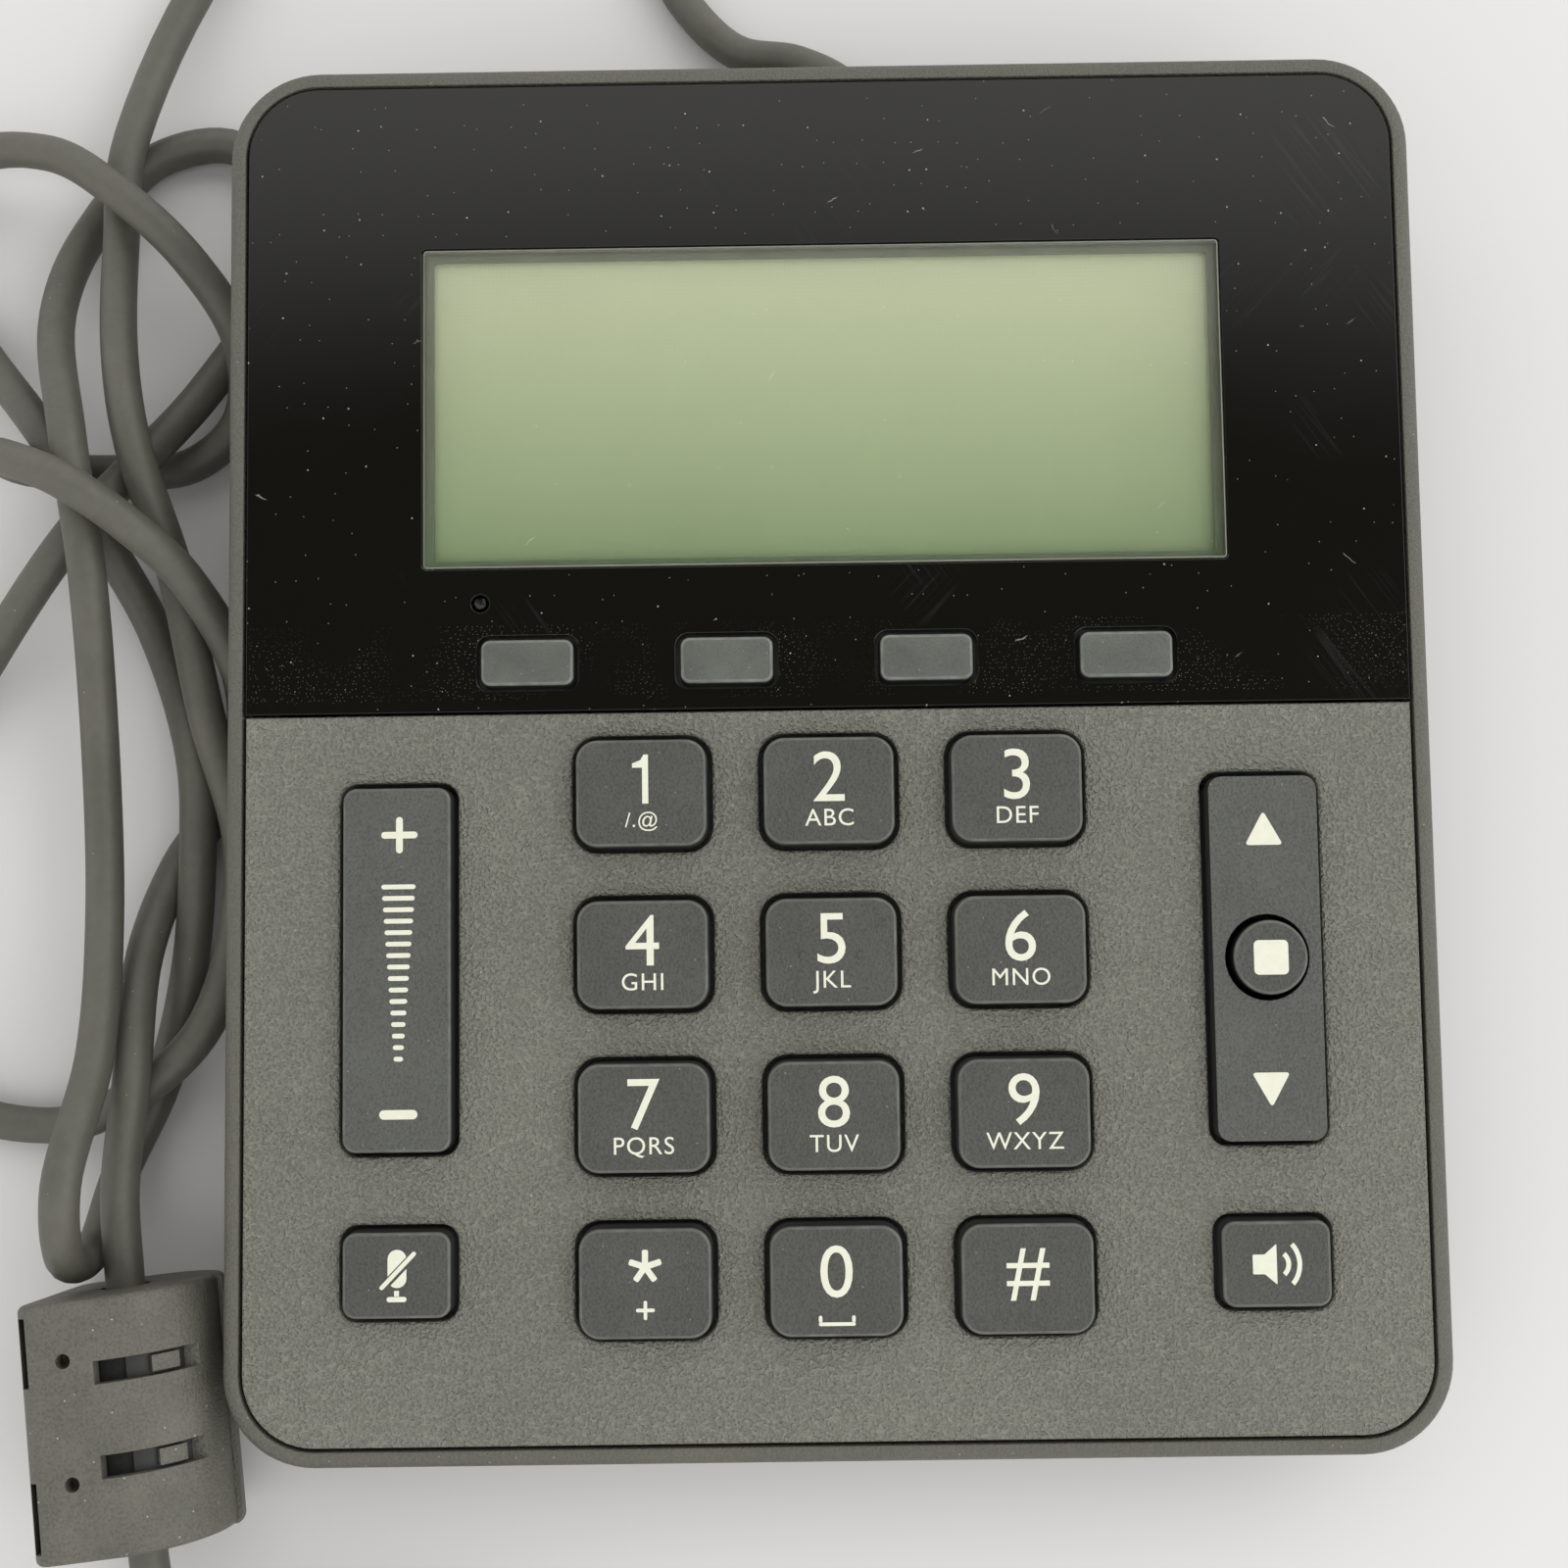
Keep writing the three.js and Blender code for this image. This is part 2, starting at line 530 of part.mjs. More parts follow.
function makeCoil() {
  const [low, high] = COIL_Z;
  const profile = [[-1, low], [1, low], [1, high], [-1, high], [-1, low]];
  const points = profile.map(([side, z]) => new THREE.Vector2(COIL_RADIUS + side * COIL_HALF_WIDTH, z));
  const lathe = new THREE.LatheGeometry(points, 32);
  const ring = solidOf(lathe.rotateX(Math.PI / 2).translate(COIL_CENTRE[0], COIL_CENTRE[1], 0));
  const half = TIE_WIDTH / 2 + GAP;
  const y = COIL_CENTRE[1];
  return cut(ring, block(COIL_CENTRE[0], COIL_CENTRE[0] + 40, y - half, y + half, -1, TIE_THICKNESS + 0.4));
}

// A strap round the coil's section, on the coil's right.
function makeCoilTie() {
  const inside = [COIL_HALF_WIDTH * 2 + 1.2, COIL_Z[1] + GAP - TIE_THICKNESS - 0.1];
  const middle = TIE_THICKNESS + 0.1 + inside[1] / 2;
  const outside = inside.map((size) => size + 2 * TIE_THICKNESS);
  const strap = roundedRect(...outside, 1.2, 0, middle);
  strap.holes.push(roundedRect(...inside, 0.5, 0, middle));
  const geometry = new THREE.ExtrudeGeometry(strap, {
    depth: TIE_WIDTH, curveSegments: 1, bevelEnabled: false,
  });
  geometry.rotateX(Math.PI / 2);
  return solidOf(geometry.translate(COIL_CENTRE[0] + COIL_RADIUS, COIL_CENTRE[1] + TIE_WIDTH / 2, 0));
}

const PLUG = { x: -26, y: COIL_CENTRE[1] - 26, z: 3.9, grip: [20, 10, 7], shell: [6.5, 7.4, 3.2] };

function makePlugGrip() {
  const [length, width, height] = PLUG.grip;
  const grip = slab(roundedRect(length, width, 2.4, PLUG.x + length / 2, PLUG.y),
    PLUG.z - height / 2, PLUG.z + height / 2, [1, 1, 2]);
  return grip;
}

function makePlugShell() {
  const [length, width, height] = PLUG.shell;
  const x0 = PLUG.x + PLUG.grip[0] + GAP;
  const wall = 0.4;
  const outer = block(x0, x0 + length, PLUG.y - width / 2, PLUG.y + width / 2,
    PLUG.z - height / 2, PLUG.z + height / 2);
  const mouth = block(x0 + 1, x0 + length + 1, PLUG.y - width / 2 + wall, PLUG.y + width / 2 - wall,
    PLUG.z - height / 2 + wall, PLUG.z + height / 2 - wall);
  return cut(outer, mouth);
}

const CORD_END = [[-33.8, PLUG.y, 3.1], [-30, PLUG.y, 3.5], [PLUG.x - GAP, PLUG.y, PLUG.z]];

unit.add(
  mesh('cord_run', cordTube(CORD_ROUTE, 76), CORD_PVC),
  mesh('cord_coil', makeCoil(), CORD_PVC),
  mesh('coil_tie', makeCoilTie(), BLACK_RUBBER),
  mesh('cord_end', cordTube(CORD_END, 2), CORD_PVC),
  mesh('plug_grip', makePlugGrip(), CORD_PVC),
  mesh('plug_shell', makePlugShell(), STEEL),
);

// ---------------------------------------------------------------- clip-on ferrite

const ferrite = new THREE.Group(); // +Y along the bore, z = 0 on the parting plane
ferrite.position.set(...FERRITE_AT);
ferrite.rotation.z = FERRITE_TURN;
unit.add(ferrite);

// Seen along the bore: round on the right, square with rounded corners on the left.
function ferriteOutline() {
  const shape = new THREE.Shape();
  const corner = 1.8;
  const left = FERRITE_FLAT + corner;
  const top = FERRITE_ROUND - corner;
  shape.absarc(0, 0, FERRITE_ROUND, -Math.PI / 2, Math.PI / 2);
  shape.absarc(left, top, corner, Math.PI / 2, Math.PI);
  shape.absarc(left, -top, corner, Math.PI, Math.PI * 1.5);
  shape.closePath();
  return shape;
}

function halfOf(solid, side) {
  const [low, high] = side > 0 ? [GAP / 2, 30] : [-30, -GAP / 2];
  return solid.intersect(block(-30, 30, -30, 30, low, high));
}

function makeFerriteCase(side) {
  const half = FERRITE_LENGTH / 2;
  const geometry = new THREE.ExtrudeGeometry(ferriteOutline(), {
    depth: FERRITE_LENGTH - 1.2, curveSegments: 4, bevelEnabled: true,
    bevelSize: 0.6, bevelOffset: -0.6, bevelThickness: 0.6, bevelSegments: 1,
  });
  const whole = solidOf(geometry.rotateX(Math.PI / 2).translate(0, half - 0.6, 0));
  const cavity = bar(0, 0, CORE_RADIUS + GAP, -CORE_LENGTH / 2 - GAP, CORE_LENGTH / 2 + GAP, 24);
  const bore = bar(0, 0, FERRITE_BORE, -20, 20);
  const shell = cut(halfOf(whole, side), cavity, bore);
  if (side < 0) return shell;
  const latchSlots = [-4.6, 4.6].map((y) => block(-0.6, 12, y - 0.9, y + 0.9, 4.5, 12));
  const pinHoles = [-6, 6].map((y) => post(-5.2, y, 0.8, 7.6, 12, 10));
  return cut(shell, ...latchSlots, ...pinHoles);
}

function makeFerriteCore(side) {
  const core = bar(0, 0, CORE_RADIUS, -CORE_LENGTH / 2, CORE_LENGTH / 2, 24);
  return halfOf(cut(core, bar(0, 0, FERRITE_BORE + 0.2, -20, 20)), side);
}

ferrite.add(
  mesh('ferrite_case_lower', makeFerriteCase(-1), CORD_PVC),
  mesh('ferrite_case_upper', makeFerriteCase(1), CORD_PVC),
  mesh('ferrite_core_lower', makeFerriteCore(-1), FERRITE),
  mesh('ferrite_core_upper', makeFerriteCore(1), FERRITE),
);

export default unit;
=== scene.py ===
"""A desk conference phone's control unit, laid out as a Blender add-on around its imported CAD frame.

Lengths in the code are millimetres, times MM, in the table's frame: +Z up, +Y to the rear edge. The face
has a frame of its own, tilted with it, whose third coordinate is called w and is 0 on the panels.
"""

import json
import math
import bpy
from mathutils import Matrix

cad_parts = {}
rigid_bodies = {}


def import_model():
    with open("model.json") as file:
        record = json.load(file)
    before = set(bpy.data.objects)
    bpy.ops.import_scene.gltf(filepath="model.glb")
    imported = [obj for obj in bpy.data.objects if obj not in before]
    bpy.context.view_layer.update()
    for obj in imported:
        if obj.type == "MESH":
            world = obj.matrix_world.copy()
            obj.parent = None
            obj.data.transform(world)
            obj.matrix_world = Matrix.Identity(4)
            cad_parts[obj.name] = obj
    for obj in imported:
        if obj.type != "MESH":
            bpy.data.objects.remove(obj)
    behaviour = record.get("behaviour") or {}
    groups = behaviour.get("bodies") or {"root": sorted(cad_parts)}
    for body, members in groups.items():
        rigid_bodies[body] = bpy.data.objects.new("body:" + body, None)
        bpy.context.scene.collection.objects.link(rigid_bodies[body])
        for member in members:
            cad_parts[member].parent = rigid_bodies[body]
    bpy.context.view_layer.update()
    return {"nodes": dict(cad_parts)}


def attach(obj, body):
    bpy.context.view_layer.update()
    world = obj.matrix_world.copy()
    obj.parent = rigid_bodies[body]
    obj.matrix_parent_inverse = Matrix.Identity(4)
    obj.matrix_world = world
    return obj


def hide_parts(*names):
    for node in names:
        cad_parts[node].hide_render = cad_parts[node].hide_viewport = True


bl_info = {
    "name": "Conference phone control unit",
    "version": (1, 0, 0),
    "blender": (4, 5, 0),
    "location": "3D View > Sidebar > Control unit",
    "description": "Builds the housing, keys, display, cord, ferrite and plug round their CAD frame",
    "category": "Add Mesh",
}

import bmesh
import bpy
from bpy.props import FloatProperty, FloatVectorProperty, IntProperty, PointerProperty
from mathutils import Matrix, Vector

for leftover in list(bpy.data.objects):
    bpy.data.objects.remove(leftover)

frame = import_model()

MM = 0.001
FACE_TILT = math.radians(3)
FACE_MIDDLE = 19.8 * MM  # height of the face's middle above the table
FACE = Matrix.Translation((0, 0, FACE_MIDDLE)) @ Matrix.Rotation(FACE_TILT, 4, "X")
FERRITE = Matrix.Translation((-73.2 * MM, -67.6 * MM, 9.7 * MM)) @ Matrix.Rotation(math.radians(6.5), 4, "Z")
ALONG_BORE = Matrix.Rotation(math.radians(90), 4, "X")  # a piece drawn upright lies down with its top to -Y
ALONG_X = Matrix.Rotation(math.radians(90), 4, "Z") @ ALONG_BORE  # and with its top to +X


def face_box(node):
    """Lowest and highest corners of a CAD node in the face's own frame."""
    back = FACE.inverted()
    places = [back @ vertex.co for vertex in frame["nodes"][node].data.vertices]
    low = Vector(min(place[axis] for place in places) for axis in range(3))
    high = Vector(max(place[axis] for place in places) for axis in range(3))
    return low, high


def face_middle(node):
    low, high = face_box(node)
    return (low + high) / 2


# ---------------------------------------------------------------- sizes and colours that a user may change


def length(name, value, description):
    return FloatProperty(name=name, description=description, default=value * MM, unit="LENGTH", precision=5)


def colour(name, value, description):
    return FloatVectorProperty(name=name, description=description, default=value, subtype="COLOR",
                               size=3, min=0, max=1)


class HousingSizes(bpy.types.PropertyGroup):
    width: length("Width", 125, "Left to right over the rim")
    depth: length("Depth", 145.6, "Front to rear over the rim, along the face")
    corner: length("Corner", 9.5, "Radius of the housing's corners")
    rim: length("Rim", 1.75, "Width of the rim round the panels")
    groove: length("Groove", 0.35, "Gap between the rim and the panels")
    split: length("Split", 3.8, "Where the display panel meets the keypad panel")
    panel: length("Panel", 2.0, "Thickness of the panels")


class KeySizes(bpy.types.PropertyGroup):
    corner: length("Pad corner", 2.2, "Radius of a number key's corners")
    small_corner: length("Side corner", 1.4, "Radius of the corners of rockers and side keys")
    soft_corner: length("Soft corner", 1.0, "Radius of a soft key's corners")
    slack: length("Slack", 0.4, "Gap between a cap and its hole")
    draft: length("Draft", 0.18, "How far a cap's sides draw in from foot to top")
    edge: length("Edge", 0.3, "Radius of a cap's top edge")
    numeral: length("Numeral", 5.05, "Height of the numerals")
    letter: length("Letter", 1.7, "Height of the letters under them")
    ink: length("Ink", 0.025, "How far the print stands out")


class CordSizes(bpy.types.PropertyGroup):
    diameter: length("Diameter", 4.0, "Of the cord's sheath")
    total: length("Length", 1700, "Of the cord, from the strain relief to the plug")
    coil_radius: length("Coil radius", 22, "Middle of the coil's turns")
    turn_pitch: length("Turn pitch", 4.1, "Between neighbouring turns")
    turn_steps: IntProperty(name="Points in a turn", description="Of the coil", default=18, min=12)


class UnitColours(bpy.types.PropertyGroup):
    rim: colour("Rim", (0.1, 0.098, 0.082), "Rim and bottom case")
    panel: colour("Keypad panel", (0.174, 0.176, 0.147), "Grained keypad panel")
    key: colour("Keys", (0.06, 0.063, 0.056), "Number keys, rockers and side keys")
    soft: colour("Soft keys", (0.09, 0.096, 0.085), "The four soft keys")
    gloss: colour("Display panel", (0.0052, 0.005, 0.0038), "Polished black panel")
    print: colour("Print", (0.73, 0.74, 0.62), "Numerals, letters and signs")
    screen: colour("Screen", (0.246, 0.33, 0.172), "Unlit display")
    cord: colour("Cord", (0.092, 0.09, 0.074), "Cord and ferrite case")


SETTINGS = {
    "unit_housing": HousingSizes,
    "unit_keys": KeySizes,
    "unit_cord": CordSizes,
    "unit_colours": UnitColours,
}


def settings(name):
    return getattr(bpy.context.scene, name)


# ---------------------------------------------------------------- shapes


def outline(bm, width, depth, corner, x=0.0, y=0.0, z=0.0, steps=8):
    """A flat face with rounded corners."""
    before = set(bm.faces)
    corners = bmesh.ops.create_grid(bm, x_segments=1, y_segments=1, size=0.5)["verts"]
    bmesh.ops.scale(bm, vec=(width, depth, 1), verts=corners)
    bmesh.ops.translate(bm, vec=(x, y, z), verts=corners)
    bmesh.ops.bevel(bm, geom=corners, offset=corner, affect="VERTICES", segments=steps,
                    profile=0.5, material=-1)
    return [face for face in bm.faces if face not in before][0]


def disc(bm, radius, x=0.0, y=0.0, z=0.0, steps=32):
    """A flat round face."""
    before = set(bm.faces)
    rim = bmesh.ops.create_circle(bm, cap_ends=True, segments=steps, radius=radius)["verts"]
    bmesh.ops.translate(bm, vec=(x, y, z), verts=rim)
    return [face for face in bm.faces if face not in before][0]


def open_up(bm, faces):
    """Fills the space between flat outlines, the first round all the others. Returns the new faces."""
    edges = list({edge for face in faces for edge in face.edges})
    bmesh.ops.delete(bm, geom=faces, context="FACES_ONLY")
    filled = bmesh.ops.triangle_fill(bm, use_beauty=True, use_dissolve=False, edges=edges)["geom"]
    return [part for part in filled if isinstance(part, bmesh.types.BMFace)]


def raise_faces(bm, faces, height, draft=0.0, about=(0, 0)):
    """Extrudes flat faces upwards, drawing the top in by draft. Returns the top's vertices."""
    made = bmesh.ops.extrude_face_region(bm, geom=faces)["geom"]
    top = [part for part in made if isinstance(part, bmesh.types.BMVert)]
    bmesh.ops.translate(bm, vec=(0, 0, height), verts=top)
    if draft:
        spread = [max(abs(vertex.co[axis] - about[axis]) for vertex in top) for axis in range(2)]
        bmesh.ops.scale(bm, vec=(1 - draft / spread[0], 1 - draft / spread[1], 1), verts=top,
                        space=Matrix.Translation((-about[0], -about[1], 0)))
    bmesh.ops.recalc_face_normals(bm, faces=bm.faces)
    return top


def is_sharp(edge):
    return len(edge.link_faces) == 2 and edge.calc_face_angle() > math.radians(50)


def round_edges(bm, edges, radius, steps=3):
    """Rounds edges. Returns the faces of the round."""
    if not edges:
        raise ValueError("there is no edge to round")
    made = bmesh.ops.bevel(bm, geom=edges, offset=radius, affect="EDGES", segments=steps,
                           profile=0.5, material=-1, clamp_overlap=True)
    return made["faces"]


def level_edges(bm, height, among=None):
    """The sharp edges that lie at one height."""
    edges = bm.edges if among is None else {edge for vertex in among for edge in vertex.link_edges}
    return [edge for edge in edges if is_sharp(edge) and all(abs(v.co.z - height) < 1e-6 for v in edge.verts)]


def block(bm, width, depth, corner, low, high, edge=0.0, x=0.0, y=0.0, draft=0.0, steps=8, edge_steps=3):
    """A block with round corners and a round top edge. Returns the faces of that round."""
    top = raise_faces(bm, [outline(bm, width, depth, corner, x, y, low, steps)], high - low, draft, (x, y))
    return round_edges(bm, level_edges(bm, high, top), edge, edge_steps) if edge else []


def flange(bm, low, high, grow, centre=(0, 0), inward=False):
    """Draws the walls between two heights outwards, or inwards, until they are grow times as far out."""
    whole = bm.verts[:] + bm.edges[:] + bm.faces[:]
    for height in (low, high):
        bmesh.ops.bisect_plane(bm, geom=whole, plane_co=(0, 0, height), plane_no=(0, 0, 1), dist=1e-7)
        whole = bm.verts[:] + bm.edges[:] + bm.faces[:]
    middle = Vector((*centre, 0))
    walls = []
    for face in bm.faces:
        place = face.calc_center_median()
        outside = (place - middle).xy.dot(face.normal.xy) > 0
        if low < place.z < high and abs(face.normal.z) < 0.5 and outside is not inward:
            walls.append(face)
    made = bmesh.ops.extrude_face_region(bm, geom=walls)["geom"]
    drawn = [part for part in made if isinstance(part, bmesh.types.BMVert)]
    bmesh.ops.scale(bm, vec=(*grow, 1), verts=drawn, space=Matrix.Translation((-centre[0], -centre[1], 0)))
    bmesh.ops.recalc_face_normals(bm, faces=bm.faces)


def post(bm, radius, low, high, x=0.0, y=0.0, steps=32, edge=0.0):
    """An upright cylinder with a round top edge."""
    top = raise_faces(bm, [disc(bm, radius, x, y, low, steps)], high - low)
    if edge:
        round_edges(bm, level_edges(bm, high, top), edge)


def turned(bm, profile, steps=40):
    """Spins a closed profile of (radius, height) points round the vertical axis."""
    ring = [bm.verts.new((radius, 0, height)) for radius, height in profile]
    edges = [bm.edges.new((ring[index - 1], ring[index])) for index in range(len(ring))]
    bmesh.ops.spin(bm, geom=ring + edges, cent=(0, 0, 0), axis=(0, 0, 1), angle=2 * math.pi, steps=steps,
                   use_merge=True)
    bmesh.ops.remove_doubles(bm, verts=bm.verts, dist=1e-7)
    bmesh.ops.recalc_face_normals(bm, faces=bm.faces)


def place_all(bm, matrix):
    bmesh.ops.transform(bm, matrix=matrix, verts=bm.verts)


# ---------------------------------------------------------------- pieces


def make_piece(bm, name, materials, matrix=None):
    """Turns a bmesh into an object at the origin, with its place in its mesh."""
    if matrix is not None:
        place_all(bm, matrix)
    mesh = bpy.data.meshes.new(name)
    bm.to_mesh(mesh)
    bm.free()
    for material in materials:
        mesh.materials.append(material)
    piece = bpy.data.objects.new(name, mesh)
    bpy.context.scene.collection.objects.link(piece)
    return piece


def finish_piece(piece, body, stands_for=(), sharp=40):
    """Smooths a piece but for its sharp edges and puts it on its CAD body."""
    piece.data.shade_smooth()
    piece.data.set_sharp_from_angle(angle=math.radians(sharp))
    flats = piece.modifiers.new("Even flats", "WEIGHTED_NORMAL")
    flats.keep_sharp = True
    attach(piece, body)
    if stands_for:
        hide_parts(*stands_for)
    return piece


def cut_from(piece, cutters, operation="DIFFERENCE"):
    """Cuts pieces from another and removes them."""
    for cutter in cutters:
        step = piece.modifiers.new("Cut", "BOOLEAN")
        step.operation = operation
        step.solver = "EXACT"
        step.object = cutter
    graph = bpy.context.evaluated_depsgraph_get()
    whole = bpy.data.meshes.new_from_object(piece.evaluated_get(graph), depsgraph=graph)
    piece.modifiers.clear()
    whole.name = piece.name
    piece.data = whole
    if not whole.polygons:
        raise RuntimeError(f"cutting {piece.name} left nothing of it")
    for cutter in cutters:
        bpy.data.objects.remove(cutter)
    return piece


def cutter(make, *arguments, matrix=None, **words):
    """A piece that only serves to cut another."""
    bm = bmesh.new()
    make(bm, *arguments, **words)
    return make_piece(bm, "cutter", [], matrix)


# ---------------------------------------------------------------- finishes


class Finish:
    """A material on Object coordinates, made up step by step."""

    def __init__(self, name, base, roughness, metallic=0.0, specular=0.5):
        self.material = bpy.data.materials.new(name)
        self.material.use_nodes = True
        self.tree = self.material.node_tree
        self.shader = self.tree.nodes["Principled BSDF"]
        self.shader.inputs["Base Color"].default_value = (*base, 1)
        self.shader.inputs["Roughness"].default_value = roughness
        self.shader.inputs["Metallic"].default_value = metallic
        self.shader.inputs["Specular IOR Level"].default_value = specular
        self.place = self.node("ShaderNodeTexCoord").outputs["Object"]
        self.base = tuple(base)

    def node(self, kind, inputs=None, **values):
        """Adds a node. An input is a number, a colour or another node's output."""
        made = self.tree.nodes.new(kind)
        for name, value in values.items():
            setattr(made, name, value)
        for name, value in (inputs or {}).items():
            if isinstance(value, bpy.types.NodeSocket):
                self.tree.links.new(value, made.inputs[name])
            else:
                made.inputs[name].default_value = value
        return made

    def stretched(self, stretch, turn=0.0, place=None):
        """Coordinates for a pattern that is drawn out along each axis, after a turn in the plane."""
        inputs = {"Vector": place or self.place, "Rotation": (0, 0, turn), "Scale": stretch}
        return self.node("ShaderNodeMapping", inputs, vector_type="TEXTURE").outputs["Vector"]

    def noise(self, size, detail=2.0, place=None):
        """Noise with features of that size, in metres."""
        inputs = {"Vector": place or self.place, "Scale": 1 / size, "Detail": detail}
        return self.node("ShaderNodeTexNoise", inputs).outputs["Fac"]

    def bands(self, size, axis):
        """Waves across an axis, with that scale in metres."""
        inputs = {"Vector": self.place, "Scale": 1 / size}
        return self.node("ShaderNodeTexWave", inputs, bands_direction=axis).outputs["Fac"]

    def along(self, axis):
        """The coordinate along one axis."""
        return self.node("ShaderNodeSeparateXYZ", {"Vector": self.place}).outputs[axis]

    def between(self, value, low, high, start=0.0, end=1.0):
        inputs = {"Value": value, "From Min": low, "From Max": high, "To Min": start, "To Max": end}
        return self.node("ShaderNodeMapRange", inputs).outputs["Result"]

    def product(self, first, second):
        return self.node("ShaderNodeMath", {0: first, 1: second}, operation="MULTIPLY").outputs[0]

    def larger(self, first, second):
        return self.node("ShaderNodeMath", {0: first, 1: second}, operation="MAXIMUM").outputs[0]

    def tint(self, share, colour_to):
        """Mixes another colour into what the surface has so far."""
        socket = self.shader.inputs["Base Color"]
        so_far = socket.links[0].from_socket if socket.is_linked else (*self.base, 1)
        mix = self.node("ShaderNodeMix", data_type="RGBA")
        for name, value in (("Factor_Float", share), ("A_Color", so_far), ("B_Color", (*colour_to, 1))):
            target = next(socket for socket in mix.inputs if socket.identifier == name)
            if isinstance(value, bpy.types.NodeSocket):
                self.tree.links.new(value, target)
            else:
                target.default_value = value
        output = next(socket for socket in mix.outputs if socket.identifier == "Result_Color")
        self.tree.links.new(output, socket)

    def shade(self, size, strength, detail=3.0):
        """Soft uneven tone, lighter and darker by strength."""
        cloud = self.noise(size, detail)
        paler = tuple(min(1, 1.8 * part) for part in self.base)
        darker = tuple(0.4 * part for part in self.base)
        self.tint(self.between(cloud, 0.5, 0.75, 0, strength), paler)
        self.tint(self.between(cloud, 0.5, 0.25, 0, strength), darker)

    def bent(self, size, reach):
        """Coordinates shifted to and fro by reach, in waves of that size."""
        wave = self.node("ShaderNodeTexNoise", {"Vector": self.place, "Scale": 1 / size}).outputs["Color"]
        inputs = {0: wave, 1: (reach,) * 3, 2: self.place}
        return self.node("ShaderNodeVectorMath", inputs, operation="MULTIPLY_ADD").outputs["Vector"]

    def specks(self, place, spacing, radius, kept, dimensions):
        """Round spots of that radius in that share of the cells of a pattern."""
        cells = self.node("ShaderNodeTexVoronoi", {"Vector": place, "Scale": 1 / spacing},
                          voronoi_dimensions=dimensions)
        spot = self.between(cells.outputs["Distance"], radius / spacing, 0.6 * radius / spacing)
        lot = self.between(cells.outputs["Color"], 1 - kept, 1 - kept + 0.02)
        return self.product(spot, lot)

    def dust(self, spacing, radius, tone, kept=0.4, strength=0.8, where=1.0, flat=True):
        """Ragged specks of about that radius, with some left out. On a flat piece they lie in its plane."""
        place = self.bent(1.25 * radius, 1.6 * radius)
        specks = self.specks(place, spacing, radius, kept, "2D" if flat else "3D")
        self.tint(self.product(self.product(specks, strength), where), tone)

    def hairline(self, turn, reach, fineness, mask_size, tone, strength):
        """Fine straight scratches along a direction, in places."""
        lines = self.noise(reach, 0, self.stretched((1, 1 / fineness, 1), turn))
        near = self.between(lines, 0.53, 0.5)
        above = self.between(lines, 0.47, 0.5)
        where = self.between(self.noise(mask_size, 1), 0.62, 0.7)
        self.tint(self.product(self.product(self.product(near, above), where), strength), tone)

    def lint(self, turn, tone, kept=0.2, strength=0.7):
        """A few short bent fibres that lie about one direction."""
        spacing = 15 * MM
        reach = 0.75 * MM
        narrow = (1, 1 / 11, 1)
        place = self.stretched(narrow, turn, self.bent(1.5 * MM, 1.3 * MM))
        self.tint(self.product(self.specks(place, spacing, reach, kept, "2D"), strength), tone)

    def uneven_gloss(self, size, low, high):
        roughness = self.between(self.noise(size, 3), 0.3, 0.7, low, high)
        self.tree.links.new(roughness, self.shader.inputs["Roughness"])

    def relief(self, height, depth, strength=1.0):
        """Bumps of that depth, in metres, over what the surface has so far."""
        socket = self.shader.inputs["Normal"]
        bump = self.node("ShaderNodeBump", {"Height": height, "Distance": depth, "Strength": strength})
        if socket.is_linked:
            self.tree.links.new(socket.links[0].from_socket, bump.inputs["Normal"])
        self.tree.links.new(bump.outputs["Normal"], socket)


def grain(finish, size, depth, tone):
    """Leather-like mould texture: low pebbles and fine speckle between them, with painted shade in the
    valleys and a painted highlight on the pebble tops.
    """
    coarse = finish.between(finish.noise(size, 1.5), 0.36, 0.64)
    fine = finish.product(finish.noise(0.4 * size, 1), 0.5)
    finish.relief(coarse, depth)
    finish.relief(fine, depth)
    # Painted shade in the valleys, then a painted highlight on the pebble tops.
    finish.tint(finish.between(coarse, 0.4, 0, 0, tone), tuple(0.35 * part for part in finish.base))
    finish.tint(finish.between(coarse, 0.65, 1, 0, 0.5 * tone), tuple(1.6 * part for part in finish.base))


DUST = (0.5, 0.48, 0.42)


def rim_finish(colours):
    """Matt case plastic."""
    finish = Finish("rim_plastic", colours.rim, 0.52)
    grain(finish, 0.28 * MM, 0.07 * MM, 0.2)
    finish.shade(14 * MM, 0.12)
    finish.dust(4.2 * MM, 0.08 * MM, DUST, strength=0.6)
    return finish.material


def panel_finish(colours):
    """Keypad panel: leather grain, a few scratches and dust."""
    finish = Finish("panel_plastic", colours.panel, 0.42)
    grain(finish, 0.38 * MM, 0.2 * MM, 0.35)
    finish.shade(22 * MM, 0.1)
    finish.hairline(0.6, 30 * MM, 40, 12 * MM, DUST, 0.12)
    finish.dust(5.5 * MM, 0.1 * MM, DUST, strength=0.6)
    return finish.material


def key_finish(colours, name="key_plastic", paler=1.0):
    """Matt cap plastic, paler on the rockers."""
    finish = Finish(name, tuple(paler * part for part in colours.key), 0.47)
    grain(finish, 0.3 * MM, 0.09 * MM, 0.35)
    finish.shade(7 * MM, 0.15)
    finish.dust(3.6 * MM, 0.08 * MM, DUST, strength=0.45)
    return finish.material


def key_highlight_edge_finish(colours):
    """The edges of caps, rubbed smooth by fingers, and paler as a painted highlight."""
    finish = Finish("key_edge", tuple(1.6 * part for part in colours.key), 0.36)
    finish.shade(1.5 * MM, 0.45)
    finish.relief(finish.noise(0.2 * MM), 0.01 * MM)
    return finish.material


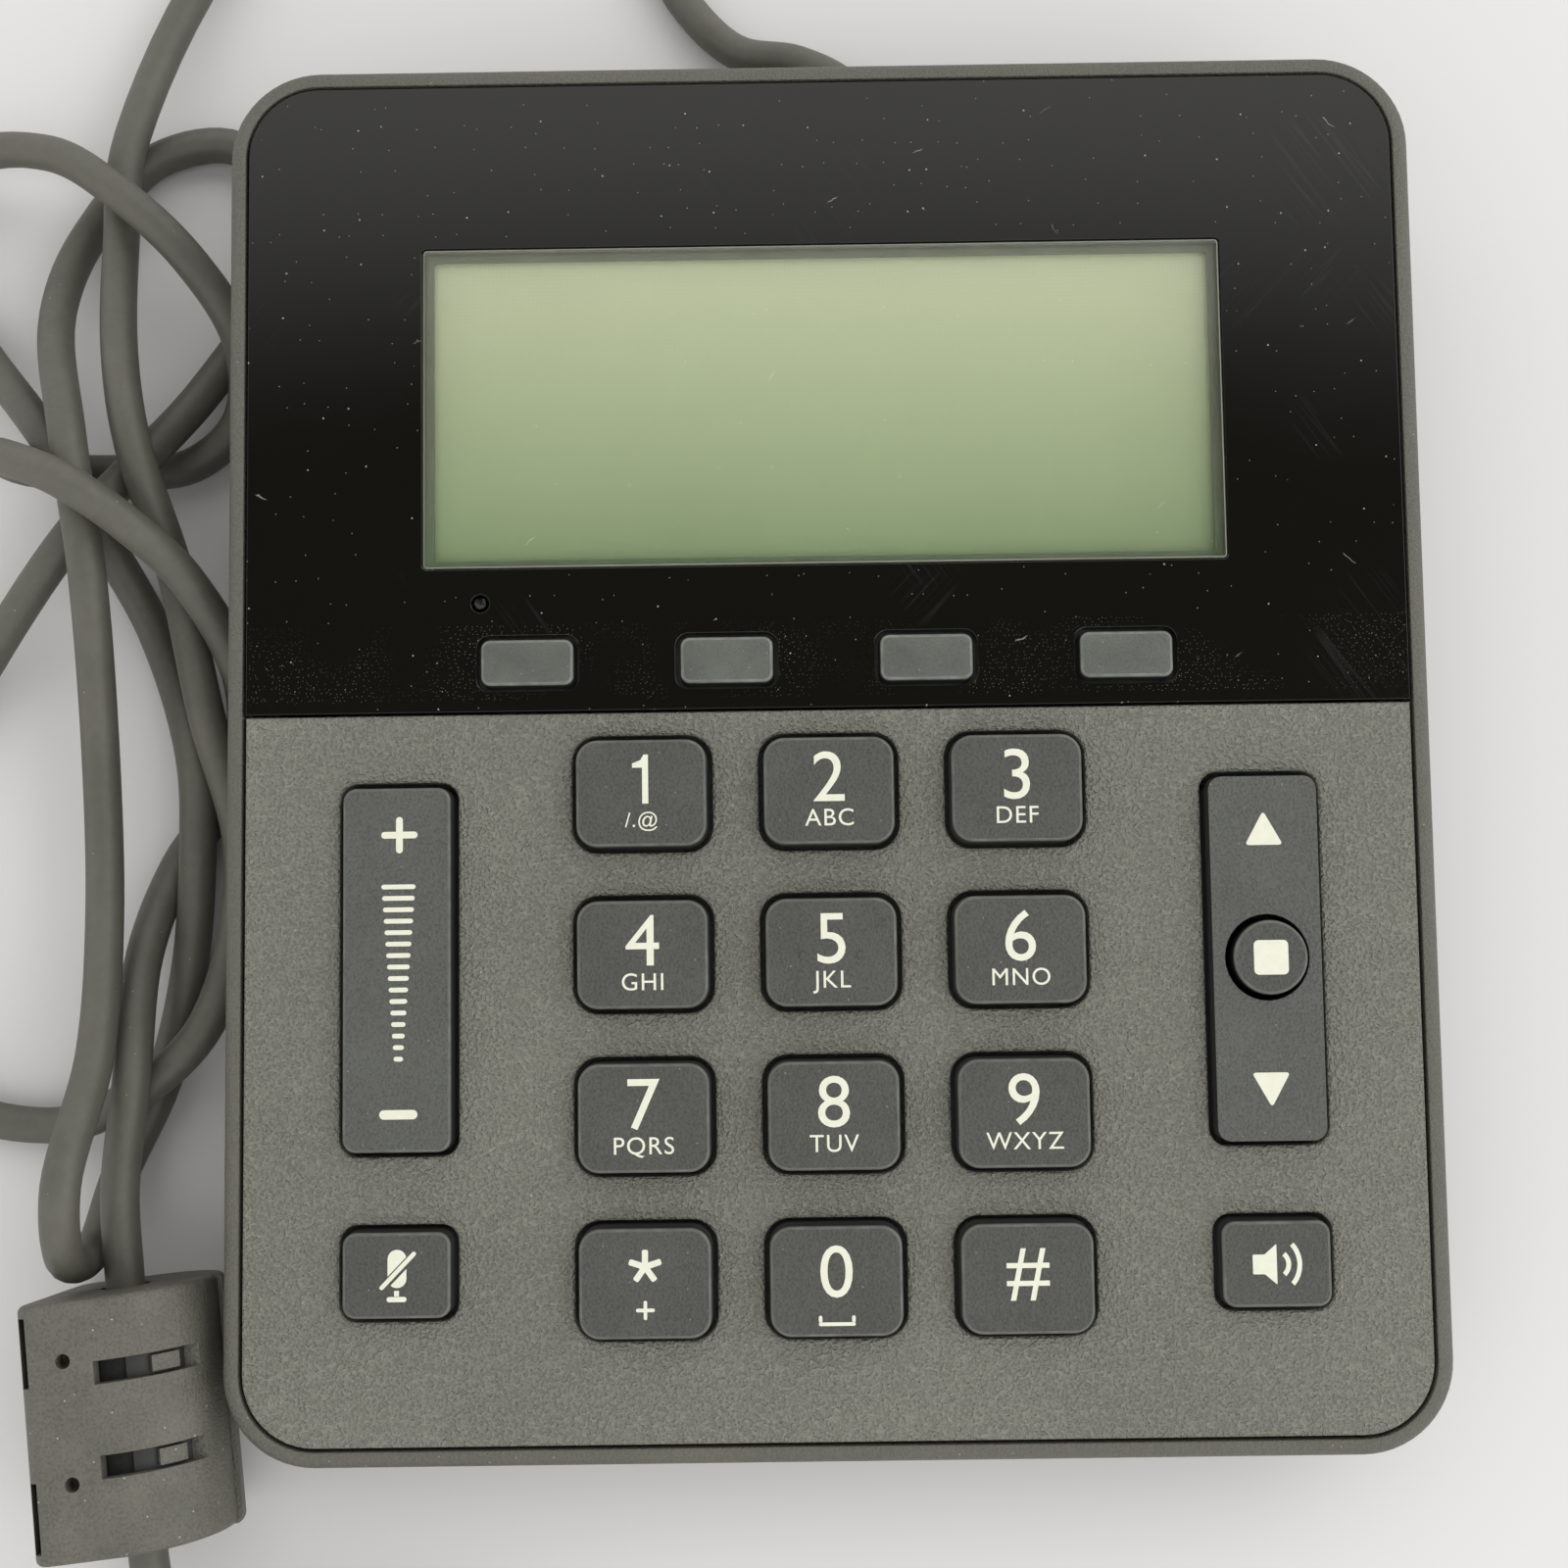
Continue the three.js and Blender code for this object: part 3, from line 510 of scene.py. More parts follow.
def soft_key_finish(colours):
    finish = Finish("softkey_plastic", colours.soft, 0.38)
    grain(finish, 0.26 * MM, 0.02 * MM, 0.15)
    finish.shade(5 * MM, 0.25)
    finish.dust(1.7 * MM, 0.06 * MM, DUST, kept=0.5, strength=0.5)
    return finish.material


# The edges of soft keys, paler as a painted highlight.
def soft_highlight_edge_finish(colours):
    finish = Finish("softkey_edge", tuple(1.6 * part for part in colours.soft), 0.32)
    finish.shade(1.2 * MM, 0.4)
    return finish.material


def print_finish(colours):
    finish = Finish("key_print", colours.print, 0.5)
    finish.shade(0.8 * MM, 0.08)
    finish.relief(finish.noise(0.15 * MM), 0.008 * MM)
    return finish.material


def gloss_finish(colours):
    """Polished black panel with dust and light scratches."""
    finish = Finish("gloss_black", colours.gloss, 0.06)
    finish.uneven_gloss(16 * MM, 0.035, 0.1)
    finish.hairline(-0.95, 40 * MM, 55, 16 * MM, (0.2, 0.2, 0.2), 0.05)
    finish.hairline(0.8, 30 * MM, 55, 13 * MM, (0.2, 0.2, 0.2), 0.04)
    finish.lint(0.5, (0.38, 0.37, 0.32), kept=0.14, strength=0.5)
    finish.lint(-0.7, (0.38, 0.37, 0.32), kept=0.14, strength=0.5)
    finish.dust(5.2 * MM, 0.1 * MM, (0.42, 0.41, 0.36), kept=0.4)
    finish.dust(2.3 * MM, 0.07 * MM, (0.3, 0.27, 0.2), kept=0.4, strength=0.7)
    near_soft_keys = {0: finish.along("Y"), 1: 9 * MM, 2: 4 * MM}
    away = finish.node("ShaderNodeMath", near_soft_keys, operation="COMPARE").outputs[0]
    clouds = finish.between(finish.noise(9 * MM, 2), 0.42, 0.6)
    finish.dust(0.42 * MM, 0.045 * MM, (0.2, 0.175, 0.12), kept=0.6, where=finish.product(away, clouds))
    return finish.material


def ledge_finish():
    """Grey edge round the screen, under the window."""
    finish = Finish("window_ledge", (0.14, 0.155, 0.105), 0.4)
    finish.tint(finish.between(finish.along("Y"), 30 * MM, 19 * MM, 0, 0.9), (0.12, 0.165, 0.085))
    finish.shade(4 * MM, 0.15)
    return finish.material


def window_finish():
    """Clear window that lets lamps through to the screen."""
    finish = Finish("clear_lens", (1, 1, 1), 0.03)
    finish.shader.inputs["IOR"].default_value = 1.49
    finish.shader.inputs["Transmission Weight"].default_value = 1.0
    tree = finish.tree
    rays = finish.node("ShaderNodeLightPath")
    clear = finish.node("ShaderNodeBsdfTransparent")
    mix = finish.node("ShaderNodeMixShader")
    tree.links.new(rays.outputs["Is Shadow Ray"], mix.inputs[0])
    tree.links.new(finish.shader.outputs["BSDF"], mix.inputs[1])
    tree.links.new(clear.outputs["BSDF"], mix.inputs[2])
    tree.links.new(mix.outputs["Shader"], tree.nodes["Material Output"].inputs["Surface"])
    return finish.material


def screen_finish(colours):
    """Unlit display: grey-green, paler towards its rear edge as a painted reflection, with its rows and
    columns.
    """
    finish = Finish("lcd_glass", colours.screen, 0.3)
    dot_pitch = 0.42 * MM
    # Painted reflection: paler towards the rear edge.
    finish.tint(finish.between(finish.along("Y"), 20 * MM, 54 * MM, 0, 1), (0.54, 0.585, 0.385))
    for axis in ("X", "Y"):
        wave = finish.product(finish.along(axis), 2 * math.pi / dot_pitch)
        line = finish.node("ShaderNodeMath", {0: wave}, operation="COSINE").outputs[0]
        finish.tint(finish.between(line, 0.8, 1, 0, 0.06), (0.12, 0.15, 0.09))
    finish.shade(25 * MM, 0.06)
    finish.lint(0.9, (0.7, 0.72, 0.6), kept=0.15, strength=0.4)
    finish.dust(6 * MM, 0.1 * MM, (0.75, 0.77, 0.65), kept=0.4, strength=0.5)
    return finish.material


def cord_finish(colours, name="cord_pvc"):
    """Soft matt sheath, with fine streaks and dust."""
    finish = Finish(name, colours.cord, 0.5)
    finish.relief(finish.noise(0.5 * MM, 3), 0.03 * MM)
    finish.shade(9 * MM, 0.22)
    finish.shade(1.1 * MM, 0.12)
    finish.dust(1.7 * MM, 0.09 * MM, DUST, kept=0.6, strength=0.6, flat=False)
    return finish.material


def ferrite_case_finish(colours):
    finish = Finish("ferrite_case_plastic", tuple(1.18 * part for part in colours.cord), 0.55)
    grain(finish, 0.3 * MM, 0.04 * MM, 0.35)
    finish.shade(6 * MM, 0.25)
    finish.dust(1.2 * MM, 0.1 * MM, (0.6, 0.58, 0.5), kept=0.6, flat=False)
    return finish.material


def ferrite_finish():
    finish = Finish("ferrite", (0.013, 0.013, 0.013), 0.6, specular=0.3)
    finish.shade(0.5 * MM, 0.5)
    finish.relief(finish.noise(0.25 * MM, 3), 0.03 * MM)
    return finish.material


def rubber_finish(name, base):
    finish = Finish(name, base, 0.75, specular=0.35)
    finish.relief(finish.noise(0.35 * MM, 3), 0.03 * MM)
    finish.shade(3 * MM, 0.3)
    finish.dust(1.3 * MM, 0.07 * MM, DUST, kept=0.3, flat=False)
    return finish.material


def moulded_finish(name, base, roughness=0.45):
    finish = Finish(name, base, roughness)
    finish.relief(finish.noise(0.3 * MM, 2), 0.015 * MM)
    finish.shade(5 * MM, 0.15)
    return finish.material


def steel_finish(name, base, roughness):
    """Plated sheet steel with a fine brushed line."""
    finish = Finish(name, base, roughness, metallic=1.0)
    brushed = finish.noise(0.6 * MM, 2, finish.stretched((1, 1 / 14, 1 / 14)))
    finish.relief(brushed, 0.004 * MM)
    finish.uneven_gloss(2 * MM, roughness - 0.08, roughness + 0.12)
    finish.shade(4 * MM, 0.12)
    return finish.material


def strap_finish():
    """Woven hook-and-loop strap: two crossing rows of thread."""
    finish = Finish("tie_strap", (0.018, 0.018, 0.02), 0.85)
    finish.shader.inputs["Sheen Weight"].default_value = 0.35
    weave = finish.larger(finish.bands(3.2 * MM, "Y"), finish.bands(3.2 * MM, "Z"))
    finish.relief(weave, 0.12 * MM)
    finish.relief(finish.noise(0.25 * MM, 3), 0.06 * MM)
    finish.shade(1 * MM, 0.4)
    return finish.material


def board_finish():
    """Green solder mask with copper tracks under it."""
    finish = Finish("board_laminate", (0.02, 0.12, 0.05), 0.3)
    for axis in ("X", "Y"):
        where = finish.between(finish.noise(14 * MM, 1), 0.5, 0.52)
        line = finish.product(finish.between(finish.bands(9 * MM, axis), 0.7, 0.75), where)
        finish.tint(line, (0.05, 0.22, 0.09))
        finish.relief(line, 0.03 * MM)
    finish.shade(6 * MM, 0.1)
    return finish.material


def film_finish():
    """Amber film with its tracks."""
    finish = Finish("polyimide_film", (0.42, 0.16, 0.03), 0.3)
    finish.tint(finish.between(finish.bands(5 * MM, "X"), 0.6, 0.7, 0, 0.7), (0.6, 0.3, 0.1))
    finish.shade(5 * MM, 0.15)
    return finish.material


def floor_finish():
    finish = Finish("table_top", (0.7, 0.7, 0.7), 0.7, specular=0.2)
    finish.shade(60 * MM, 0.015)
    return finish.material


FINISHES = {
    "rim_plastic": rim_finish,
    "panel_plastic": panel_finish,
    "key_plastic": key_finish,
    "rocker_plastic": lambda colours: key_finish(colours, "rocker_plastic", 1.3),
    "key_edge": key_highlight_edge_finish,
    # Near black on the sides of the caps: painted shade for the gap round each cap.
    "key_wall": lambda colours: moulded_finish("key_wall", (0.012, 0.012, 0.012), 0.5),
    "softkey_plastic": soft_key_finish,
    "softkey_edge": soft_highlight_edge_finish,
    "key_print": print_finish,
    "gloss_black": gloss_finish,
    # Pale grey on the window's rounded edge: a painted highlight.
    "window_edge": lambda colours: moulded_finish("window_edge", (0.2, 0.21, 0.17), 0.25),
    "window_ledge": lambda colours: ledge_finish(),
    "clear_lens": lambda colours: window_finish(),
    "lcd_glass": screen_finish,
    "cord_pvc": cord_finish,
    "plug_plastic": lambda colours: cord_finish(colours, "plug_plastic"),
    "ferrite_case_plastic": ferrite_case_finish,
    "ferrite": lambda colours: ferrite_finish(),
    "foot_rubber": lambda colours: rubber_finish("foot_rubber", (0.02, 0.02, 0.02)),
    "black_rubber": lambda colours: rubber_finish("black_rubber", (0.03, 0.03, 0.028)),
    "grey_silicone": lambda colours: rubber_finish("grey_silicone", (0.22, 0.23, 0.23)),
    "white_plastic": lambda colours: moulded_finish("white_plastic", (0.62, 0.62, 0.56)),
    # Near black: the plug's own tongue, and painted shade on the latch tongues' roots.
    "tongue_plastic": lambda colours: moulded_finish("tongue_plastic", (0.02, 0.02, 0.02)),
    "zinc_steel": lambda colours: steel_finish("zinc_steel", (0.55, 0.56, 0.58), 0.38),
    "plug_steel": lambda colours: steel_finish("plug_steel", (0.66, 0.65, 0.63), 0.28),
    "tie_strap": lambda colours: strap_finish(),
    "board_laminate": lambda colours: board_finish(),
    "polyimide_film": lambda colours: film_finish(),
    "table_top": lambda colours: floor_finish(),
}
finishes_made = {}


def finish(name):
    """The finish of that name, made when it is first asked for."""
    if name not in finishes_made:
        finishes_made[name] = FINISHES[name](settings("unit_colours"))
    return finishes_made[name]


def finishes(*names):
    return [finish(name) for name in names]


# ---------------------------------------------------------------- print on the keys

PRINT = 1  # a cap's second material
EDGE = 2  # a cap's third material: its rounded top edge, paler as a painted highlight
WALL = 3  # a cap's fourth material: its sides, near black as painted shade


def add_print(bm, draw, surface):
    """Prints the flat shapes that draw makes on a surface."""
    ink = settings("unit_keys").ink
    flat = bmesh.new()
    draw(flat)
    for vertex in flat.verts:
        vertex.co.z = surface - ink
    raise_faces(flat, flat.faces[:], 2 * ink)
    for face in flat.faces:
        face.material_index = PRINT
    mesh = bpy.data.meshes.new("print")
    flat.to_mesh(mesh)
    flat.free()
    bm.from_mesh(mesh)
    bpy.data.meshes.remove(mesh)


def text_mesh(text, spacing=1.0):
    """Flat text as a mesh."""
    words = bpy.data.curves.new("print", "FONT")
    words.body = text
    words.resolution_u = 5
    words.space_character = spacing
    holder = bpy.data.objects.new("print", words)
    bpy.context.scene.collection.objects.link(holder)
    graph = bpy.context.evaluated_depsgraph_get()
    mesh = bpy.data.meshes.new_from_object(holder.evaluated_get(graph), depsgraph=graph)
    bpy.data.objects.remove(holder)
    bpy.data.curves.remove(words)
    return mesh


def extent(mesh, axis):
    places = [vertex.co[axis] for vertex in mesh.vertices]
    return min(places), max(places)


def add_text(bm, text, height, x, y, surface, spacing=1.0):
    """Prints text whose capitals are that high, with its middle at (x, y)."""
    capital = text_mesh("H")
    scale = height / extent(capital, 1)[1]
    bpy.data.meshes.remove(capital)
    mesh = text_mesh(text, spacing)
    middle = sum(extent(mesh, 0)) / 2
    mesh.transform(Matrix.Translation((x, y - height / 2, 0)) @ Matrix.Scale(scale, 4)
                   @ Matrix.Translation((-middle, 0, 0)))

    def draw(flat):
        flat.from_mesh(mesh)
        bmesh.ops.remove_doubles(flat, verts=flat.verts, dist=1e-7)

    add_print(bm, draw, surface)
    bpy.data.meshes.remove(mesh)


def bar(bm, x, y, width, height, turn=0.0):
    """A flat bar with round ends."""
    before = set(bm.verts)
    outline(bm, width, height, 0.499 * min(width, height), steps=5)
    fresh = [vertex for vertex in bm.verts if vertex not in before]
    place = Matrix.Translation((x, y, 0)) @ Matrix.Rotation(turn, 4, "Z")
    bmesh.ops.transform(bm, matrix=place, verts=fresh)


def arc(bm, x, y, radius, thickness, start, end):
    """A flat arc."""
    across = Vector((math.cos(start), math.sin(start), 0))
    centre = Vector((x, y, 0))
    ends = [bm.verts.new(centre + across * (radius + side * thickness / 2)) for side in (-1, 1)]
    edge = bm.edges.new(ends)
    bmesh.ops.spin(bm, geom=[*ends, edge], cent=centre, axis=(0, 0, 1), angle=end - start, steps=12)


def polygon(bm, points, radius=0.0, rounded=None):
    """A flat face through a few points in millimetres, with all or some of its corners rounded."""
    corners = [bm.verts.new((x * MM, y * MM, 0)) for x, y in points]
    bm.faces.new(corners)
    if radius:
        chosen = corners if rounded is None else [corners[index] for index in rounded]
        bmesh.ops.bevel(bm, geom=chosen, offset=radius * MM, affect="VERTICES", segments=5, profile=0.5,
                        material=-1)


def cross(bm, x, y, size, thickness):
    """A plus sign with round ends, in millimetres."""
    far, near = size / 2, thickness / 2
    quarter = [(far, near), (near, near), (near, far)]
    points = []
    for _ in range(4):
        points += quarter
        quarter = [(-b, a) for a, b in quarter]
    tips = [index for index in range(12) if index % 3 != 1]
    polygon(bm, [(x + a, y + b) for a, b in points], 0.49 * thickness, tips)


def star(bm, x, y, reach, thickness):
    """Five arms round a point, in millimetres."""
    points = []
    for arm in range(5):
        turn = math.radians(90 + 72 * arm)
        along = Vector((math.cos(turn), math.sin(turn)))
        side = Vector((-along.y, along.x)) * thickness / 2
        notch = turn + math.radians(36)
        depth = thickness / 2 / math.sin(math.radians(36))
        inner = Vector((math.cos(notch), math.sin(notch))) * depth
        points += [along * reach - side, along * reach + side, inner]
    tips = [index for index in range(15) if index % 3 != 2]
    polygon(bm, [(x + point.x, y + point.y) for point in points], 0.3 * thickness, tips)


def one(bm, x, y):
    """The numeral 1, with a flag, in millimetres."""
    points = ((0.12, -2.52), (0.74, -2.52), (0.74, 2.52), (0.28, 2.52), (-0.05, 1.95), (-0.9, 1.62),
              (-0.9, 1.18), (0.12, 1.18))
    polygon(bm, [(x + across, y + up) for across, up in points])


def microphone(bm, x, y):
    """A crossed-out microphone: its capsule in two parts beside the slash, the slash, its stem and foot."""
    slope = math.radians(45.7)
    across = Vector((math.sin(slope), -math.cos(slope), 0))
    middle = Vector((x + 0.16 * MM, y + 0.51 * MM, 0))
    for side, gap in ((-1, 0.34), (1, 0.5)):
        part = outline(bm, 1.9 * MM, 3.8 * MM, 0.94 * MM, x + 0.08 * MM, y + 0.7 * MM)
        geometry = [part, *part.edges, *part.verts]
        bmesh.ops.bisect_plane(bm, geom=geometry, plane_co=middle + side * across * gap * MM,
                               plane_no=-side * across, clear_outer=True)
    bar(bm, middle.x, middle.y, 5.1 * MM, 0.44 * MM, slope)
    bar(bm, x + 0.04 * MM, y - 2.34 * MM, 2.0 * MM, 0.52 * MM)
    outline(bm, 0.5 * MM, 0.55 * MM, 0.05 * MM, x + 0.04 * MM, y - 1.75 * MM)


def loudspeaker(bm, x, y):
    """A cone and two arcs of sound."""
    horn = ((-2.46, -0.98), (-1.27, -0.98), (-0.04, -2.03), (-0.04, 2.03), (-1.27, 0.98), (-2.46, 0.98))
    polygon(bm, [(x / MM + dx, y / MM + dy) for dx, dy in horn], 0.12)
    for centre, radius, half in ((-0.2, 1.35, 49), (-0.74, 3.0, 41)):
        arc(bm, x + centre * MM, y, radius * MM, 0.48 * MM, -math.radians(half), math.radians(half))


def triangle(bm, x, y, up):
    """An arrow head, in millimetres."""
    corners = [(-1.95, -1.75), (1.95, -1.75), (0, 1.75)]
    polygon(bm, [(x + side * up, y + rise * up) for side, rise in corners], 0.42)


# ---------------------------------------------------------------- keys

NUMBER_KEY = (13.7 * MM, 11.3 * MM)  # width and depth of each kind of cap
SOFT_KEY = (9.9 * MM, 5.1 * MM)
SIDE_KEY = (11.3 * MM, 8.9 * MM)
ROCKER = (11.4 * MM, 37.4 * MM)
KEY_FOOT = -3.5 * MM  # underside of a key's flange
ROCKER_FOOT = -4.3 * MM
FLANGE_HEIGHT = 1.15 * MM
FLANGE_GROWTH = (2 * MM, 2 * MM)  # how much wider and deeper a flange is than its cap
ROCKER_GROWTH = (2 * MM, 2.4 * MM)
PLUNGER = 1.8 * MM  # radius of the peg that presses the mat
SELECT_RADIUS = 3.9 * MM
SELECT_HOLE = 4.45 * MM
SELECT_SHIFT = 0.22 * MM  # of the select key to the right of its hole


def cap(bm, node, size, corner, foot=KEY_FOOT, crown=0.0, hole=0.0, grow=FLANGE_GROWTH):
    """A key's cap with its hidden flange at its CAD node's place. Returns its middle and its top."""
    keys = settings("unit_keys")
    low, high = face_box(node)
    x, y = ((low + high) / 2).xy
    top = high.z
    faces = [outline(bm, *size, corner, x, y, foot)]
    if hole:
        faces = open_up(bm, [*faces, disc(bm, hole, x, y, foot)])
    above = raise_faces(bm, faces, top - foot, keys.draft, (x, y))
    # The rounded top edge gets the paler painted highlight.
    for face in round_edges(bm, level_edges(bm, top, above), keys.edge):
        face.material_index = EDGE
    if crown:
        crown_top(bm, top, crown, (x, y))
    flange(bm, foot, foot + FLANGE_HEIGHT, [1 + grow[axis] / size[axis] for axis in range(2)], (x, y))
    paint_wall_shade(bm)
    return x, y, top


def paint_wall_shade(bm):
    """Paints shade on the sides of a cap: they are darker than its top, standing in for the shade in the gap
    round it.
    """
    bm.normal_update()
    for face in bm.faces:
        if face.material_index == 0 and abs(face.normal.z) < 0.6:
            face.material_index = WALL


def crown_top(bm, top, rise, centre, rings=6):
    """Swells a flat top a little, most in its middle."""
    bm.normal_update()
    lid = [face for face in bm.faces if face.normal.z > 0.99 and face.calc_center_median().z > top - 1e-5]
    about = Matrix.Translation((-centre[0], -centre[1], 0))
    for ring in range(1, rings + 1):
        bmesh.ops.inset_region(bm, faces=lid, thickness=0, use_even_offset=False)
        verts = list({vertex for face in lid for vertex in face.verts})
        share = ring / (rings + 1)
        shrink = (1 - share) / (1 - share + 1 / (rings + 1))
        bmesh.ops.scale(bm, vec=(shrink, shrink, 1), verts=verts, space=about)
        for vertex in verts:
            vertex.co.z = top + rise * (1 - (1 - share) ** 2)


def nib(bm, x, y, surface):
    """A raised dot that a fingertip finds the middle key by."""
    before = set(bm.verts)
    bmesh.ops.create_uvsphere(bm, u_segments=20, v_segments=10, radius=0.42 * MM)
    fresh = [vertex for vertex in bm.verts if vertex not in before]
    place = Matrix.Translation((x, y, surface)) @ Matrix.Diagonal((1, 1, 0.45, 1))
    bmesh.ops.transform(bm, matrix=place, verts=fresh)


def make_key(node, size, corner, draw, coat="key_plastic", edge="key_edge", **words):
    """A whole key on its own body. draw prints its sign on it."""
    bm = bmesh.new()
    x, y, top = cap(bm, node, size, corner, **words)
    if "rocker" not in node:
        post(bm, PLUNGER, face_box(node)[0].z, KEY_FOOT + 0.1 * MM, x, y, 20)
    if draw:
        draw(bm, x, y, top)
    face_coat = "rocker_plastic" if "rocker" in node else coat
    piece = make_piece(bm, f"{node}_cap", finishes(face_coat, "key_print", edge, "key_wall"), FACE)
    return finish_piece(piece, node, [node])


NUMBER_KEYS = {
    "key_1": ("1", "/.@"),
    "key_2": ("2", "ABC"),
    "key_3": ("3", "DEF"),
    "key_4": ("4", "GHI"),
    "key_5": ("5", "JKL"),
    "key_6": ("6", "MNO"),
    "key_7": ("7", "PQRS"),
    "key_8": ("8", "TUV"),
    "key_9": ("9", "WXYZ"),
    "key_star": ("*", "+"),
    "key_0": ("0", "_"),
    "key_pound": ("#", ""),
}
SPACE_WIDTH = 3.7 * MM
SPACE_STROKE = 0.36 * MM


def print_number(bm, node, x, y, top):
    """The numeral and letters of one key."""
    keys = settings("unit_keys")
    numeral, letters = NUMBER_KEYS[node]
    if numeral == "*":
        add_print(bm, lambda flat: star(flat, x / MM, y / MM + 1.7, 1.7, 0.62), top)
        add_print(bm, lambda flat: cross(flat, x / MM, y / MM - 2.6, 1.9, 0.36), top)
        return
    rise = (1.0 if numeral in "0#" else 1.42) * MM
    if numeral == "1":
        add_print(bm, lambda flat: one(flat, x / MM, (y + rise) / MM), top)
    else:
        add_text(bm, numeral, keys.numeral, x, y + rise, top)
    if numeral == "5":
        for side in (-1, 1):
            nib(bm, x + side * 2.95 * MM, y - 0.3 * MM, top)
    if letters == "_":
        low = y - 4.2 * MM
        add_print(bm, lambda flat: bar(flat, x, low, SPACE_WIDTH, SPACE_STROKE), top)
        for side in (-1, 1):
            edge = x + side * (SPACE_WIDTH - SPACE_STROKE) / 2
            add_print(bm, lambda flat: bar(flat, edge, low + 0.5 * MM, SPACE_STROKE, 0.7 * MM), top)
    elif letters:
        height = keys.letter * (0.85 if "@" in letters else 1)
        add_text(bm, letters, height, x, y - 2.75 * MM, top, spacing=1.1)


class UNIT_OT_number_keys(bpy.types.Operator):
    """The twelve number keys with their numerals and letters"""

    bl_idname = "unit.number_keys"
    bl_label = "Number keys"

    def execute(self, context):
        corner = settings("unit_keys").corner
        for node in NUMBER_KEYS:
            make_key(node, NUMBER_KEY, corner,
                     lambda bm, x, y, top: print_number(bm, node, x, y, top))
        return {"FINISHED"}


class UNIT_OT_soft_keys(bpy.types.Operator):
    """The four small keys under the display"""

    bl_idname = "unit.soft_keys"
    bl_label = "Soft keys"

    def execute(self, context):
        corner = settings("unit_keys").soft_corner
        for number in range(1, 5):
            make_key(f"softkey_{number}", SOFT_KEY, corner, None,
                     "softkey_plastic", "softkey_edge", crown=0.22 * MM)
        return {"FINISHED"}


class UNIT_OT_side_keys(bpy.types.Operator):
    """The mute key and the loudspeaker key"""

    bl_idname = "unit.side_keys"
    bl_label = "Side keys"

    def execute(self, context):
        corner = settings("unit_keys").small_corner
        for node, sign in (("mute_button", microphone), ("speaker_button", loudspeaker)):
            make_key(node, SIDE_KEY, corner,
                     lambda bm, x, y, top: add_print(bm, lambda flat: sign(flat, x, y), top))
        return {"FINISHED"}


VOLUME_BARS = 16


def print_volume(bm, x, y, top):
    """A plus, a row of bars that gets narrower, and a minus."""
    add_print(bm, lambda flat: cross(flat, x / MM + 0.3, y / MM + 13.7, 3.72, 0.7), top)
    add_print(bm, lambda flat: bar(flat, x + 0.2 * MM, y - 14.7 * MM, 3.88 * MM, 0.95 * MM), top)
    for step in range(VOLUME_BARS):
        share = step / (VOLUME_BARS - 1)
        width = (3.5 - 2.55 * share) * MM
        row = y + (8.4 - 17.5 * share) * MM
        add_print(bm, lambda flat: bar(flat, x + 0.2 * MM, row, width, 0.48 * MM), top)


def print_arrows(bm, x, y, top):
    """An arrow head at each end."""
    for end, rise in ((1, 13.2), (-1, -13.4)):
        add_print(bm, lambda flat: triangle(flat, x / MM, y / MM + rise, end), top)


class UNIT_OT_rockers(bpy.types.Operator):
    """The volume rocker and the navigation rocker with its select key"""

    bl_idname = "unit.rockers"
    bl_label = "Rockers"

    def execute(self, context):
        keys = settings("unit_keys")
        for node, draw, hole in (("volume_rocker", print_volume, 0),
                                 ("nav_rocker", print_arrows, SELECT_HOLE)):
            make_key(node, ROCKER, keys.small_corner, draw, foot=ROCKER_FOOT, hole=hole, grow=ROCKER_GROWTH)
        bm = bmesh.new()
        low, high = face_box("select_button")
        x, y = ((low + high) / 2).xy
        x += SELECT_SHIFT
        round_face = disc(bm, SELECT_RADIUS, x, y, low.z, 64)
        top = raise_faces(bm, [round_face], high.z - low.z, 0.12 * MM, (x, y))
        # The rounded top edge gets the paler painted highlight.
        for face in round_edges(bm, level_edges(bm, high.z, top), keys.edge):
            face.material_index = EDGE
        paint_wall_shade(bm)
        add_print(bm, lambda flat: outline(flat, 3.5 * MM, 3.5 * MM, 0.5 * MM, x, y), high.z)
        coats = finishes("key_plastic", "key_print", "key_edge", "key_wall")
        piece = make_piece(bm, "select_button_cap", coats, FACE)
        finish_piece(piece, "select_button", ["select_button"])
        return {"FINISHED"}


# ---------------------------------------------------------------- housing

CASE_SCREWS = ((-32.7, -60), (32.7, -60), (-45, 59), (45, 59))
BOARD_FOOT = -9.35 * MM
SCREW_HOLE = 1.55 * MM  # radius
PANEL_BOSS = 3 * MM
PANEL_GAP = 0.15 * MM  # half the gap between the panels


def tube(bm, outer, inner, low, high, x=0.0, y=0.0):
    """An upright sleeve."""
    ring = open_up(bm, [disc(bm, outer, x, y, low), disc(bm, inner, x, y, low)])
    raise_faces(bm, ring, high - low)


def panel_outline(bm, z):
    """The face of both panels together, inside the rim."""
    sizes = settings("unit_housing")
    inset = sizes.rim + sizes.groove
    return outline(bm, sizes.width - 2 * inset, sizes.depth - 2 * inset, sizes.corner - inset, z=z, steps=12)


def node_hole(bm, node, size, corner, z):
    """The opening of one key."""
    slack = settings("unit_keys").slack
    middle = face_middle(node)
    return outline(bm, size[0] + 2 * slack, size[1] + 2 * slack, corner + slack, middle.x, middle.y, z)


